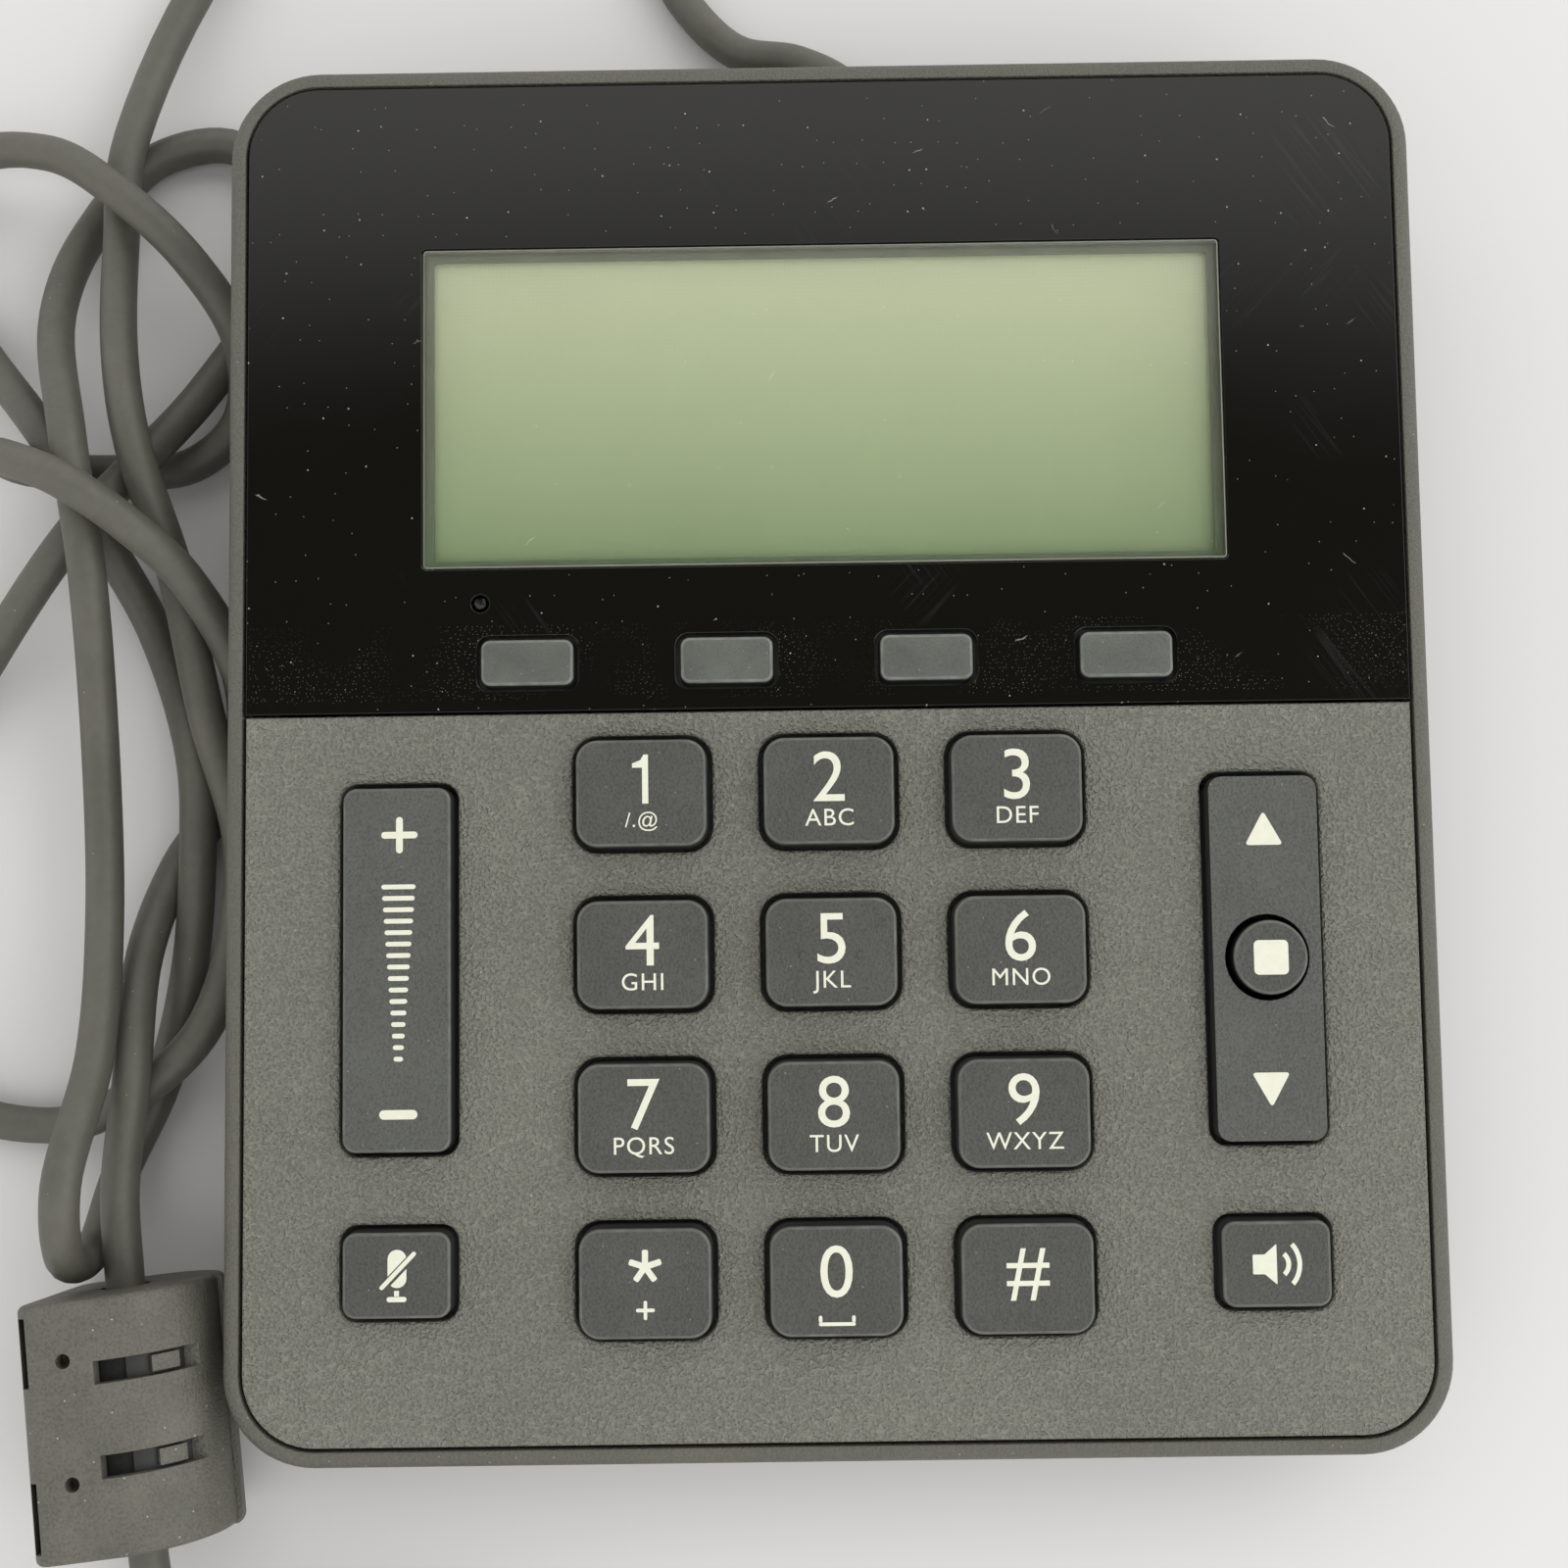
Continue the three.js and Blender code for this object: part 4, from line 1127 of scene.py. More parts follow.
def make_panel(name, keep, holes, bosses, coat, extra=None, materials=()):
    """One panel: the common outline cut at the split, with its holes and screw bosses. keep is 1 or -1."""
    sizes = settings("unit_housing")
    foot = -sizes.panel
    bm = bmesh.new()
    whole = panel_outline(bm, foot)
    geometry = [whole, *whole.edges, *whole.verts]
    bmesh.ops.bisect_plane(bm, geom=geometry, plane_co=(0, sizes.split + keep * PANEL_GAP, 0),
                           plane_no=(0, -keep, 0), clear_outer=True)
    faces = open_up(bm, [*bm.faces, *[hole(bm, foot) for hole in holes]])
    top = raise_faces(bm, faces, sizes.panel)
    round_edges(bm, level_edges(bm, 0, top), 0.25 * MM, 2)
    for x, y in bosses:
        tube(bm, PANEL_BOSS, SCREW_HOLE, BOARD_FOOT, foot + 0.1 * MM, x * MM, y * MM)
    if extra:
        extra(bm)
    piece = make_piece(bm, f"{name}_plate", finishes(coat, *materials), FACE)
    finish_piece(piece, "root", [name], sharp=15)


class UNIT_OT_keypad_panel(bpy.types.Operator):
    """The grained panel round the keys"""

    bl_idname = "unit.keypad_panel"
    bl_label = "Keypad panel"

    def execute(self, context):
        keys = settings("unit_keys")
        openings = [(node, NUMBER_KEY, keys.corner) for node in NUMBER_KEYS]
        for nodes, size in ((("mute_button", "speaker_button"), SIDE_KEY),
                            (("volume_rocker", "nav_rocker"), ROCKER)):
            openings += [(node, size, keys.small_corner) for node in nodes]
        holes = [lambda bm, z, opening=opening: node_hole(bm, *opening, z) for opening in openings]
        make_panel("keypad_panel", -1, holes, CASE_SCREWS[:2], "panel_plastic")
        return {"FINISHED"}


WINDOW_ROW = 36.05 * MM  # the window's middle, up the face
WINDOW_OPENING = (84.2 * MM, 34.3 * MM, 0.55 * MM)  # width, depth and corner
WINDOW_PANE = (83.9 * MM, 34 * MM, 0.4 * MM)
LEDGE_OUTSIDE = (84.7 * MM, 34.8 * MM, 0.6 * MM)
LEDGE_INSIDE = (82 * MM, 32.1 * MM, 0.4 * MM)
LAMP_HOLE = (0.95 * MM, -36 * MM, 15.3 * MM)  # radius and place
LEDGE = 1  # the display panel's second material
PANE_EDGE = 1  # the window's second material: its rounded edge, pale as a painted highlight


def window_ledge(bm):
    """The grey edge that the window rests on."""
    before = set(bm.faces)
    foot = -2 * MM
    ring = [outline(bm, *size, 0, WINDOW_ROW, foot) for size in (LEDGE_OUTSIDE, LEDGE_INSIDE)]
    raise_faces(bm, open_up(bm, ring), 0.4 * MM)
    for face in bm.faces:
        if face not in before:
            face.material_index = LEDGE


class UNIT_OT_display_panel(bpy.types.Operator):
    """The polished panel round the display"""

    bl_idname = "unit.display_panel"
    bl_label = "Display panel"

    def execute(self, context):
        corner = settings("unit_keys").soft_corner
        names = [f"softkey_{number}" for number in range(1, 5)]
        holes = [lambda bm, z, name=name: node_hole(bm, name, SOFT_KEY, corner, z) for name in names]
        holes.append(lambda bm, z: outline(bm, *WINDOW_OPENING, 0, WINDOW_ROW, z))
        holes.append(lambda bm, z: disc(bm, *LAMP_HOLE, z))
        make_panel("display_panel", 1, holes, CASE_SCREWS[2:], "gloss_black", window_ledge, ["window_ledge"])
        return {"FINISHED"}


class UNIT_OT_window(bpy.types.Operator):
    """The clear window over the screen"""

    bl_idname = "unit.window"
    bl_label = "Window"

    def execute(self, context):
        bm = bmesh.new()
        for face in block(bm, *WINDOW_PANE, -1.3 * MM, 0, 0.15 * MM, 0, WINDOW_ROW):
            face.material_index = PANE_EDGE
        piece = make_piece(bm, "window_pane", finishes("clear_lens", "window_edge"), FACE)
        finish_piece(piece, "root", ["display_lens"], sharp=15)
        return {"FINISHED"}


class UNIT_OT_rim(bpy.types.Operator):
    """The rim that holds both panels"""

    bl_idname = "unit.rim"
    bl_label = "Rim"

    def is_outer(self, edge, sizes):
        """Whether an edge lies on the outer outline, measured from the corners' middles."""
        beyond = []
        for axis, size in enumerate((sizes.width, sizes.depth)):
            beyond.append(max(0, abs(edge.verts[0].co[axis]) - size / 2 + sizes.corner))
        return math.hypot(*beyond) > sizes.corner - sizes.rim / 2

    def execute(self, context):
        sizes = settings("unit_housing")
        foot = -5.5 * MM
        shelf = (-3.8 * MM, -2.3 * MM)  # heights of the ledge that carries the panels
        shelf_width, shelf_depth = 115 * MM, 136 * MM
        width, depth = sizes.width - 2 * sizes.rim, sizes.depth - 2 * sizes.rim
        bm = bmesh.new()
        ring = [outline(bm, sizes.width, sizes.depth, sizes.corner, z=foot, steps=14),
                outline(bm, width, depth, sizes.corner - sizes.rim, z=foot, steps=14)]
        top = raise_faces(bm, open_up(bm, ring), -foot)
        upper = level_edges(bm, 0, top)
        outer = [edge for edge in upper if self.is_outer(edge, sizes)]
        inner = [edge for edge in upper if edge not in outer]
        round_edges(bm, outer, 1.1 * MM, 5)
        round_edges(bm, [edge for edge in inner if edge.is_valid], 0.2 * MM, 2)
        flange(bm, *shelf, (shelf_width / width, shelf_depth / depth), inward=True)
        piece = make_piece(bm, "rim", finishes("rim_plastic"), FACE)
        finish_piece(piece, "root", ["top_case"])
        return {"FINISHED"}


CASE_FLOOR = 1.2 * MM
CASE_WALL = 2 * MM
CASE_TOP = -5.8 * MM  # where the case ends under the rim, in the face's frame
CASE_OUTSIDE = (122 * MM, 142 * MM, 8 * MM)  # width, depth and corner
CASE_INSIDE = (118 * MM, 138 * MM, 6 * MM)
RECESS_RADIUS = 3.1 * MM  # round a screw's head
RECESS_DEPTH = 2.7 * MM
CASE_BOSS = 3.8 * MM
BOSS_TOP = -9.65 * MM
FAR = 90 * MM  # past the whole case
NOTCH_X = (-4.5 * MM, 15.5 * MM)  # where the cord leaves the rear wall
NOTCH_Y = 60.5 * MM
NOTCH_TOP = 13.5 * MM
EXIT = Vector((5.5, 71, 8)) * MM
FEET = ((-44, -50), (44, -50), (-44, 44), (44, 44))
FOOT_RADIUS = 5.5 * MM


def tub(bm, width, depth, corner, floor, draw_in, rise):
    """A block whose lower edge is a quarter of an ellipse."""
    squash = draw_in / rise
    outline(bm, width, depth, corner, steps=10)
    raise_faces(bm, bm.faces[:], 40 * MM * squash)
    round_edges(bm, level_edges(bm, 0), draw_in, 8)
    place_all(bm, Matrix.Translation((0, 0, floor)) @ Matrix.Diagonal((1, 1, 1 / squash, 1)))


def box(bm, x, y, z):
    """A plain box between two bounds along each axis."""
    block(bm, x[1] - x[0], y[1] - y[0], 0.3 * MM, z[0], z[1], 0, sum(x) / 2, sum(y) / 2, steps=2)


def floor_under(y):
    """Where the case's floor is, in the face's frame."""
    return (CASE_FLOOR - FACE_MIDDLE - y * math.sin(FACE_TILT)) / math.cos(FACE_TILT)


class UNIT_OT_bottom_case(bpy.types.Operator):
    """The case under the rim, with its notch for the cord, its screw recesses and its foot seats"""

    bl_idname = "unit.bottom_case"
    bl_label = "Bottom case"

    def execute(self, context):
        bm = bmesh.new()
        tub(bm, *CASE_OUTSIDE, CASE_FLOOR, 6.45 * MM, 11 * MM)
        case = make_piece(bm, "bottom_case_shell", finishes("rim_plastic"))
        inside = cutter(tub, *CASE_INSIDE, CASE_FLOOR + CASE_WALL, 5.5 * MM, 10 * MM)
        notch_walls = cutter(box, (NOTCH_X[0] - CASE_WALL, NOTCH_X[1] + CASE_WALL),
                             (NOTCH_Y - CASE_WALL, FAR), (-MM, NOTCH_TOP + CASE_WALL))
        cut_from(inside, [notch_walls])
        cutters = [inside, cutter(box, NOTCH_X, (NOTCH_Y, FAR), (-2 * MM, NOTCH_TOP)),
                   cutter(box, (-FAR, FAR), (-FAR, FAR), (CASE_TOP, FAR), matrix=FACE),
                   cutter(post, 3.5 * MM, -4 * MM, 4 * MM,
                          matrix=Matrix.Translation((EXIT.x, NOTCH_Y, EXIT.z)) @ ALONG_BORE)]
        for x, y in FEET:
            cutters.append(cutter(post, FOOT_RADIUS + 0.3 * MM, -MM, 2 * MM, x * MM, y * MM))
        for x, y in CASE_SCREWS:
            floor = floor_under(y * MM)
            cutters.append(cutter(post, RECESS_RADIUS, floor - 2 * MM, floor + RECESS_DEPTH, x * MM, y * MM,
                                  matrix=FACE))
        cut_from(case, cutters)
        bm = bmesh.new()
        bm.from_mesh(case.data)
        for x, y in CASE_SCREWS:
            before = set(bm.verts)
            floor = floor_under(y * MM)
            sunk = floor + 0.5 * MM
            seat = floor + RECESS_DEPTH
            turned(bm, ((RECESS_RADIUS, sunk), (CASE_BOSS, sunk), (CASE_BOSS, BOSS_TOP),
                        (SCREW_HOLE, BOSS_TOP), (SCREW_HOLE, seat), (RECESS_RADIUS, seat)))
            fresh = [vertex for vertex in bm.verts if vertex not in before]
            bmesh.ops.transform(bm, matrix=FACE @ Matrix.Translation((x * MM, y * MM, 0)), verts=fresh)
        box(bm, (-5 * MM, 16 * MM), (45 * MM, 51 * MM), (2.2 * MM, 5.7 * MM))
        bm.to_mesh(case.data)
        bm.free()
        finish_piece(case, "root", ["bottom_case"], sharp=35)
        return {"FINISHED"}


class UNIT_OT_feet(bpy.types.Operator):
    """The four rubber feet"""

    bl_idname = "unit.feet"
    bl_label = "Feet"

    def execute(self, context):
        for number, (x, y) in enumerate(FEET, 1):
            bm = bmesh.new()
            post(bm, FOOT_RADIUS, 0, 1.7 * MM, steps=48, edge=0.4 * MM)
            turn = Matrix.Translation((x * MM, y * MM, 1.7 * MM)) @ Matrix.Rotation(math.pi, 4, "X")
            piece = make_piece(bm, f"rubber_foot_{number}", finishes("foot_rubber"), turn)
            finish_piece(piece, "root", [f"foot_{number}"])
        return {"FINISHED"}


class UNIT_OT_screws(bpy.types.Operator):
    """The four screws that hold the case together, driven from below"""

    bl_idname = "unit.screws"
    bl_label = "Case screws"

    def execute(self, context):
        upside_down = Matrix.Rotation(math.pi, 4, "X")
        for number, (x, y) in enumerate(CASE_SCREWS, 1):
            floor = floor_under(y * MM)
            tip = floor + 4.2 * MM  # drawn upside down, from the case's floor
            place = FACE @ (Matrix.Translation((x * MM, y * MM, floor)) @ upside_down)
            bm = bmesh.new()
            post(bm, 2.7 * MM, -2.4 * MM, -0.8 * MM, steps=40, edge=0.5 * MM)
            post(bm, 1.25 * MM, tip, -2.3 * MM, steps=24)
            piece = make_piece(bm, f"screw_{number}", finishes("zinc_steel"), place)
            slots = [cutter(block, long * MM, wide * MM, 0.2 * MM, -1.7 * MM, 0, matrix=place)
                     for long, wide in ((3.0, 0.7), (0.7, 3.0))]
            cut_from(piece, slots)
            finish_piece(piece, "root", [f"case_screw_{number}"])
        return {"FINISHED"}


INNER_PIECES = {
    "keypad_mat": "grey_silicone",
    "dome_sheet": "polyimide_film",
    "main_board": "board_laminate",
    "lcd_panel": "lcd_glass",
    "lcd_frame": "zinc_steel",
    "backlight": "white_plastic",
    "lcd_flex": "polyimide_film",
    "status_lens": "clear_lens",
    "status_led": "white_plastic",
    "shield_can": "zinc_steel",
    "cable_header": "white_plastic",
    "cable_clamp": "white_plastic",
    "clamp_screw": "zinc_steel",
    "inner_lead": "cord_pvc",
}


class UNIT_OT_inside(bpy.types.Operator):
    """Finishes for the pieces inside, whose CAD shape is kept"""

    bl_idname = "unit.inside"
    bl_label = "Inside"

    def execute(self, context):
        for node, coat in INNER_PIECES.items():
            materials = frame["nodes"][node].data.materials
            materials.clear()
            materials.append(finish(coat))
        return {"FINISHED"}


# ---------------------------------------------------------------- cord

ROUTE = (  # from the strain relief round and over itself, through the ferrite and down to the coil
    (5.5, 71, 8), (4.2, 77.8, 6.6), (-1.8, 82.6, 4.5), (-9, 85, 2.8), (-15.5, 92, 2.4), (-23, 108, 2.3),
    (-44, 117, 2.3), (-66, 104, 2.5), (-78.7, 74, 6.4), (-79.2, 60, 7.6), (-77.6, 46, 11.6),
    (-75.2, 35, 13.3), (-71.8, 22.5, 9), (-68, 6, 8.4), (-64, -10, 7.1), (-67.5, -27.5, 6.9),
    (-75, -35, 6.8), (-86, -38.5, 2.6), (-100, -34, 2.3), (-107.5, -13, 2.3), (-96, 10.5, 3.2),
    (-82.5, 26, 10.8), (-76.5, 34, 8.8), (-70.5, 44, 4), (-63.8, 56, 2.3), (-62, 65.5, 2.3),
    (-67.5, 74.2, 2.3), (-77, 73, 2.3), (-84.5, 63.5, 3), (-86, 52, 8), (-81.8, 36, 15.2),
    (-79.4, 20.5, 14.4), (-79, 2, 9.8), (-78, -16, 9.8), (-77.2, -31, 13.8), (-78.2, -44, 19.7),
    (-79, -51.5, 15.4), (-79.2, -51.5, 6.6), (-78, -44, 2.6), (-73.6, -34, 2.5), (-71, -22, 2.5),
    (-69.2, -9, 6.3), (-70.2, 2, 5.4), (-76, 17, 2.3), (-81, 27, 6), (-85.8, 36.5, 8.8),
    (-98, 52, 2.6), (-103.5, 62.5, 3), (-98, 71.3, 6), (-87, 70.6, 9.6), (-78.5, 65, 11.5),
    (-71, 58, 9.6), (-65.6, 49, 6.8), (-66.3, 41, 3.6), (-72, 36, 2.6), (-80.7, 35.3, 2.6),
    (-88.8, 34.6, 6.6), (-88.8, 33.5, 15.4), (-80.7, 29.6, 19.8), (-74.5, 25.4, 17.4), (-69, 20, 13.2),
    (-64.4, 9.5, 7.2), (-66.5, -1, 2.8), (-72.4, -10, 2.4), (-74.8, -20, 6), (-74.2, -34, 11.1),
    (-75.3, -45, 10.4), (-74.8, -53.7, 9.7), (-73.2, -67.6, 9.7), (-71.6, -81.5, 9.7),
    (-71.2, -87, 8.2), (-71.4, -94, 4.8), (-71.6, -100.3, 3),
)
TO_PLUG = ((-64.6, -142.4, 6.35), (-57, -147.2, 6.1), (-50, -149.3, 5.6), (-43, -149.9, 4),
           (-38, -149.3, 2.9), (-33.8, -148, 2.9), (-30, -147.2, 3.4), (-26.3, -147, 3.9))
COIL_CENTRE = Vector((-49.6, -121, 0)) * MM
COIL_LOW = 2.2 * MM
COIL_RISE = 4.15 * MM  # to the turns that lie on the others
# Angle, lane (1 outside, 0 middle, -1 inside) and layer, with straight ramps between them.
COIL_PLAN = ((168, 1, 0), (440, 1, 0), (500, 0, 0), (800, 0, 0), (860, -1, 0), (1100, -1, 0), (1160, -1, 1),
             (1400, -1, 1), (1460, 0, 1), (1760, 0, 1), (1820, 1, 1), (2035, 1, 1))
TIE_LIFT = 0.85 * MM


def coil_points():
    """The coil's turns, from outside to inside and back on top, lifted where the tie goes round them."""
    sizes = settings("unit_cord")
    points = []
    stretches = list(zip(COIL_PLAN, COIL_PLAN[1:]))
    step = 360 / sizes.turn_steps
    angle = COIL_PLAN[0][0]
    while angle <= COIL_PLAN[-1][0]:
        start, end = next(pair for pair in stretches if pair[0][0] <= angle <= pair[1][0])
        share = (angle - start[0]) / (end[0] - start[0])
        lane = start[1] + share * (end[1] - start[1])
        layer = start[2] + share * (end[2] - start[2])
        turn = math.radians(angle)
        reach = sizes.coil_radius + lane * sizes.turn_pitch
        near_tie = max(0, math.cos(turn)) ** 6
        height = COIL_LOW + layer * COIL_RISE + near_tie * TIE_LIFT
        points.append(COIL_CENTRE + Vector((reach * math.cos(turn), reach * math.sin(turn), height)))
        angle += step
    return points


def smooth_spline(points):
    """A Bezier curve that goes through points as a centripetal Catmull-Rom one does."""
    curve = bpy.data.curves.new("cord", "CURVE")
    curve.dimensions = "3D"
    spline = curve.splines.new("BEZIER")
    spline.bezier_points.add(len(points) - 1)
    before = [2 * points[0] - points[1], *points[:-1]]
    after = [*points[1:], 2 * points[-1] - points[-2]]
    for knot, last, here, ahead in zip(spline.bezier_points, before, points, after):
        behind_time = (here - last).length ** 0.5
        ahead_time = (ahead - here).length ** 0.5
        speed = ((here - last) / behind_time - (ahead - last) / (behind_time + ahead_time)
                 + (ahead - here) / ahead_time)
        knot.co = here
        knot.handle_left = here - speed * behind_time / 3
        knot.handle_right = here + speed * ahead_time / 3
    return curve


class UNIT_OT_cord(bpy.types.Operator):
    """The whole cord as one curve"""

    bl_idname = "unit.cord"
    bl_label = "Cord"

    def execute(self, context):
        sizes = settings("unit_cord")
        out, back = ([Vector(point) * MM for point in route] for route in (ROUTE, TO_PLUG))
        points = out + coil_points() + back
        curve = smooth_spline(points)
        curve.bevel_depth = sizes.diameter / 2
        curve.bevel_resolution = 6
        curve.resolution_u = 8
        curve.use_fill_caps = True
        curve.materials.append(finish("cord_pvc"))
        cord = bpy.data.objects.new("cord", curve)
        context.scene.collection.objects.link(cord)
        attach(cord, "root")
        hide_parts("cord_run", "cord_coil", "cord_end")
        return {"FINISHED"}


class UNIT_OT_strain_relief(bpy.types.Operator):
    """The flexible sleeve where the cord leaves the case"""

    bl_idname = "unit.strain_relief"
    bl_label = "Strain relief"

    def execute(self, context):
        rings = 5
        profile = [(2.15, 56.4), (4.3, 56.4), (4.3, 58.2), (3.2, 58.2), (3.2, 60.8), (4.4, 60.8), (4.2, 62.4)]
        for ring in range(rings):
            near = 62.8 + 1.6 * ring
            radius = 4.15 - 0.28 * ring
            profile += [(radius - 0.5, near), (radius - 0.5, near + 0.5), (radius, near + 0.65),
                        (radius - 0.12, near + 1.35)]
        profile += [(2.7, 71), (2.15, 71)]
        bm = bmesh.new()
        turned(bm, [(radius * MM, height * MM) for radius, height in profile])
        along_y = Matrix.Translation((EXIT.x, 0, EXIT.z)) @ Matrix.Rotation(-math.pi / 2, 4, "X")
        piece = make_piece(bm, "strain_relief_sleeve", finishes("black_rubber"), along_y)
        finish_piece(piece, "root", ["strain_relief"])
        return {"FINISHED"}


class UNIT_OT_tie(bpy.types.Operator):
    """The hook-and-loop strap round the coil, with its end laid over"""

    bl_idname = "unit.tie"
    bl_label = "Coil tie"

    def execute(self, context):
        width = 8 * MM
        bm = bmesh.new()
        ring = [outline(bm, 15.6 * MM, 10.4 * MM, 1.6 * MM), outline(bm, 14 * MM, 8.8 * MM, 0.9 * MM)]
        top = raise_faces(bm, open_up(bm, ring), width)
        round_edges(bm, level_edges(bm, width, top) + level_edges(bm, 0), 0.2 * MM, 2)
        place_all(bm, Matrix.Translation((-27.6 * MM, -117 * MM, 5.3 * MM)) @ ALONG_BORE)
        block(bm, 10 * MM, 7.6 * MM, 1.6 * MM, 10.4 * MM, 11.1 * MM, 0.25 * MM, -28.4 * MM, -121 * MM)
        piece = make_piece(bm, "tie_band", finishes("tie_strap"))
        finish_piece(piece, "root", ["coil_tie"])
        return {"FINISHED"}


PLUG = Vector((-26, -147, 3.9)) * MM  # middle of the grip's rear end
GRIP_LENGTH = 20 * MM
RIBS = 6  # on each side of the grip
SHELL_BACK = 20.3 * MM  # where the metal shell starts and ends, along the plug
SHELL_MOUTH = 26.8 * MM


class UNIT_OT_plug(bpy.types.Operator):
    """The plug: its ribbed grip, the boot behind it, and its shell round a tongue"""

    bl_idname = "unit.plug"
    bl_label = "Plug"

    def execute(self, context):
        along = Matrix.Translation(PLUG) @ ALONG_X
        bm = bmesh.new()
        outline(bm, 10 * MM, 7 * MM, 1.8 * MM)
        raise_faces(bm, bm.faces[:], GRIP_LENGTH)
        round_edges(bm, level_edges(bm, 0) + level_edges(bm, GRIP_LENGTH), 1.2 * MM, 4)
        for rib in range(RIBS):
            for side in (-1, 1):
                low = (4 + 2 * rib) * MM
                block(bm, 6.4 * MM, 0.6 * MM, 0.25 * MM, low, low + 0.9 * MM, 0.2 * MM, 0, side * 3.45 * MM)
        grip = make_piece(bm, "plug_grip_body", finishes("plug_plastic"), along)
        finish_piece(grip, "root", ["plug_grip"])
        bm = bmesh.new()
        profile = ((2.1, -4.5), (2.7, -4.5), (2.8, -3.4), (2.5, -3.2), (2.6, -2.6), (3.1, -2.4), (3.2, -1.3),
                   (2.8, -1.1), (2.9, -0.6), (3.4, -0.4), (3.4, 0.6), (2.1, 0.6))
        turned(bm, [(radius * MM, height * MM) for radius, height in profile])
        boot = make_piece(bm, "plug_boot", finishes("plug_plastic"), along)
        finish_piece(boot, "root")
        bm = bmesh.new()
        sleeve = [outline(bm, 7.4 * MM, 3.2 * MM, 0.5 * MM, z=SHELL_BACK),
                  outline(bm, 6.6 * MM, 2.4 * MM, 0.3 * MM, z=SHELL_BACK)]
        top = raise_faces(bm, open_up(bm, sleeve), SHELL_MOUTH - SHELL_BACK)
        round_edges(bm, level_edges(bm, SHELL_MOUTH, top), 0.1 * MM, 2)
        block(bm, 6.8 * MM, 2.6 * MM, 0.3 * MM, SHELL_BACK, SHELL_BACK + MM)
        shell = make_piece(bm, "plug_shell_sleeve", finishes("plug_steel"), along)
        finish_piece(shell, "root", ["plug_shell"])
        bm = bmesh.new()
        block(bm, 5 * MM, 0.9 * MM, 0.1 * MM, SHELL_BACK + 0.5 * MM, SHELL_MOUTH - MM, 0.15 * MM)
        tongue = make_piece(bm, "plug_tongue", finishes("tongue_plastic"), along)
        finish_piece(tongue, "root")
        return {"FINISHED"}


FERRITE_HALF = 12.75 * MM
FERRITE_ROUND = 9.6 * MM
FERRITE_FLAT = -8.3 * MM
CORE_HALF = 10.2 * MM
CORE_RADIUS = 7.8 * MM
CORE_BORE = 2.8 * MM
CAVITY_RADIUS = 8.1 * MM
CAVITY_HALF = 10.5 * MM
CASE_BORE = 2.6 * MM
LIP = 0.5 * MM  # how far the lower half stands out on the right
PARTING = 0.15 * MM
LATCH_ROWS = (-5.4, 3.8)  # the latch slots in millimetres, along the bore to the front
PIN_ROWS = (-6.9, 5.1)  # the small round holes, the same way
# Radius, thickness and half width in millimetres, and start and end in degrees: the tongue and its root.
TONGUE = ((8.2, 0.2, 1.1, 26, 75), (8.75, 0.9, 0.8, 41, 59))
TONGUE_ROOT = 8.35 * MM  # the root lies inside this radius
ROOT = 1  # a latch tongue's second material: its root, near black as painted shade at the bottom of the slot
LYING = FERRITE @ ALONG_BORE


def ferrite_block(bm, lip=0.0):
    """The case drawn upright: square on the left and round on the right, where a lip may stand out."""
    width = FERRITE_ROUND - FERRITE_FLAT + lip
    corners = bmesh.ops.create_grid(bm, x_segments=1, y_segments=1, size=0.5)["verts"]
    bmesh.ops.scale(bm, vec=(width, 2 * FERRITE_ROUND, 1), verts=corners)
    bmesh.ops.translate(bm, vec=(FERRITE_FLAT + width / 2, 0, -FERRITE_HALF), verts=corners)
    right = [vertex for vertex in corners if vertex.co.x > 0]
    left = [vertex for vertex in corners if vertex.co.x < 0]
    for chosen, radius, steps in ((right, 0.998 * FERRITE_ROUND, 24), (left, 1.8 * MM, 8)):
        bmesh.ops.bevel(bm, geom=chosen, offset=radius, affect="VERTICES", segments=steps, profile=0.5,
                        material=-1)
    raise_faces(bm, bm.faces[:], 2 * FERRITE_HALF)
    round_edges(bm, level_edges(bm, -FERRITE_HALF) + level_edges(bm, FERRITE_HALF), 0.7 * MM, 4)


def ferrite_half(name, side, make, coat, cutters, body, node):
    """One half of the case or of the core, parted at the middle plane. side is 1 for the upper one."""
    bm = bmesh.new()
    make(bm)
    piece = make_piece(bm, name, finishes(coat))
    if cutters:
        cut_from(piece, cutters)
    bm = bmesh.new()
    bm.from_mesh(piece.data)
    geometry = [*bm.faces, *bm.edges, *bm.verts]
    made = bmesh.ops.bisect_plane(bm, geom=geometry, plane_co=(0, side * PARTING, 0), plane_no=(0, -side, 0),
                                  clear_outer=True)["geom_cut"]
    rims = [part for part in made if isinstance(part, bmesh.types.BMEdge)]
    bmesh.ops.triangle_fill(bm, use_beauty=True, edges=rims)
    bmesh.ops.recalc_face_normals(bm, faces=bm.faces)
    place_all(bm, LYING)
    bm.to_mesh(piece.data)
    bm.free()
    return finish_piece(piece, body, [node], sharp=30)


def ferrite_hollow():
    """What is cut out of both case halves: the core's cavity, the bore and two slots by the hinge."""
    made = [cutter(post, CAVITY_RADIUS, -CAVITY_HALF, CAVITY_HALF, steps=64),
            cutter(post, CASE_BORE, -20 * MM, 20 * MM)]
    for end in (-1, 1):
        made.append(cutter(box, (FERRITE_FLAT + 0.3 * MM, FERRITE_FLAT + 1.1 * MM), (-7 * MM, 12 * MM),
                           sorted((end * 4.6 * MM, end * 11.5 * MM))))
    return made


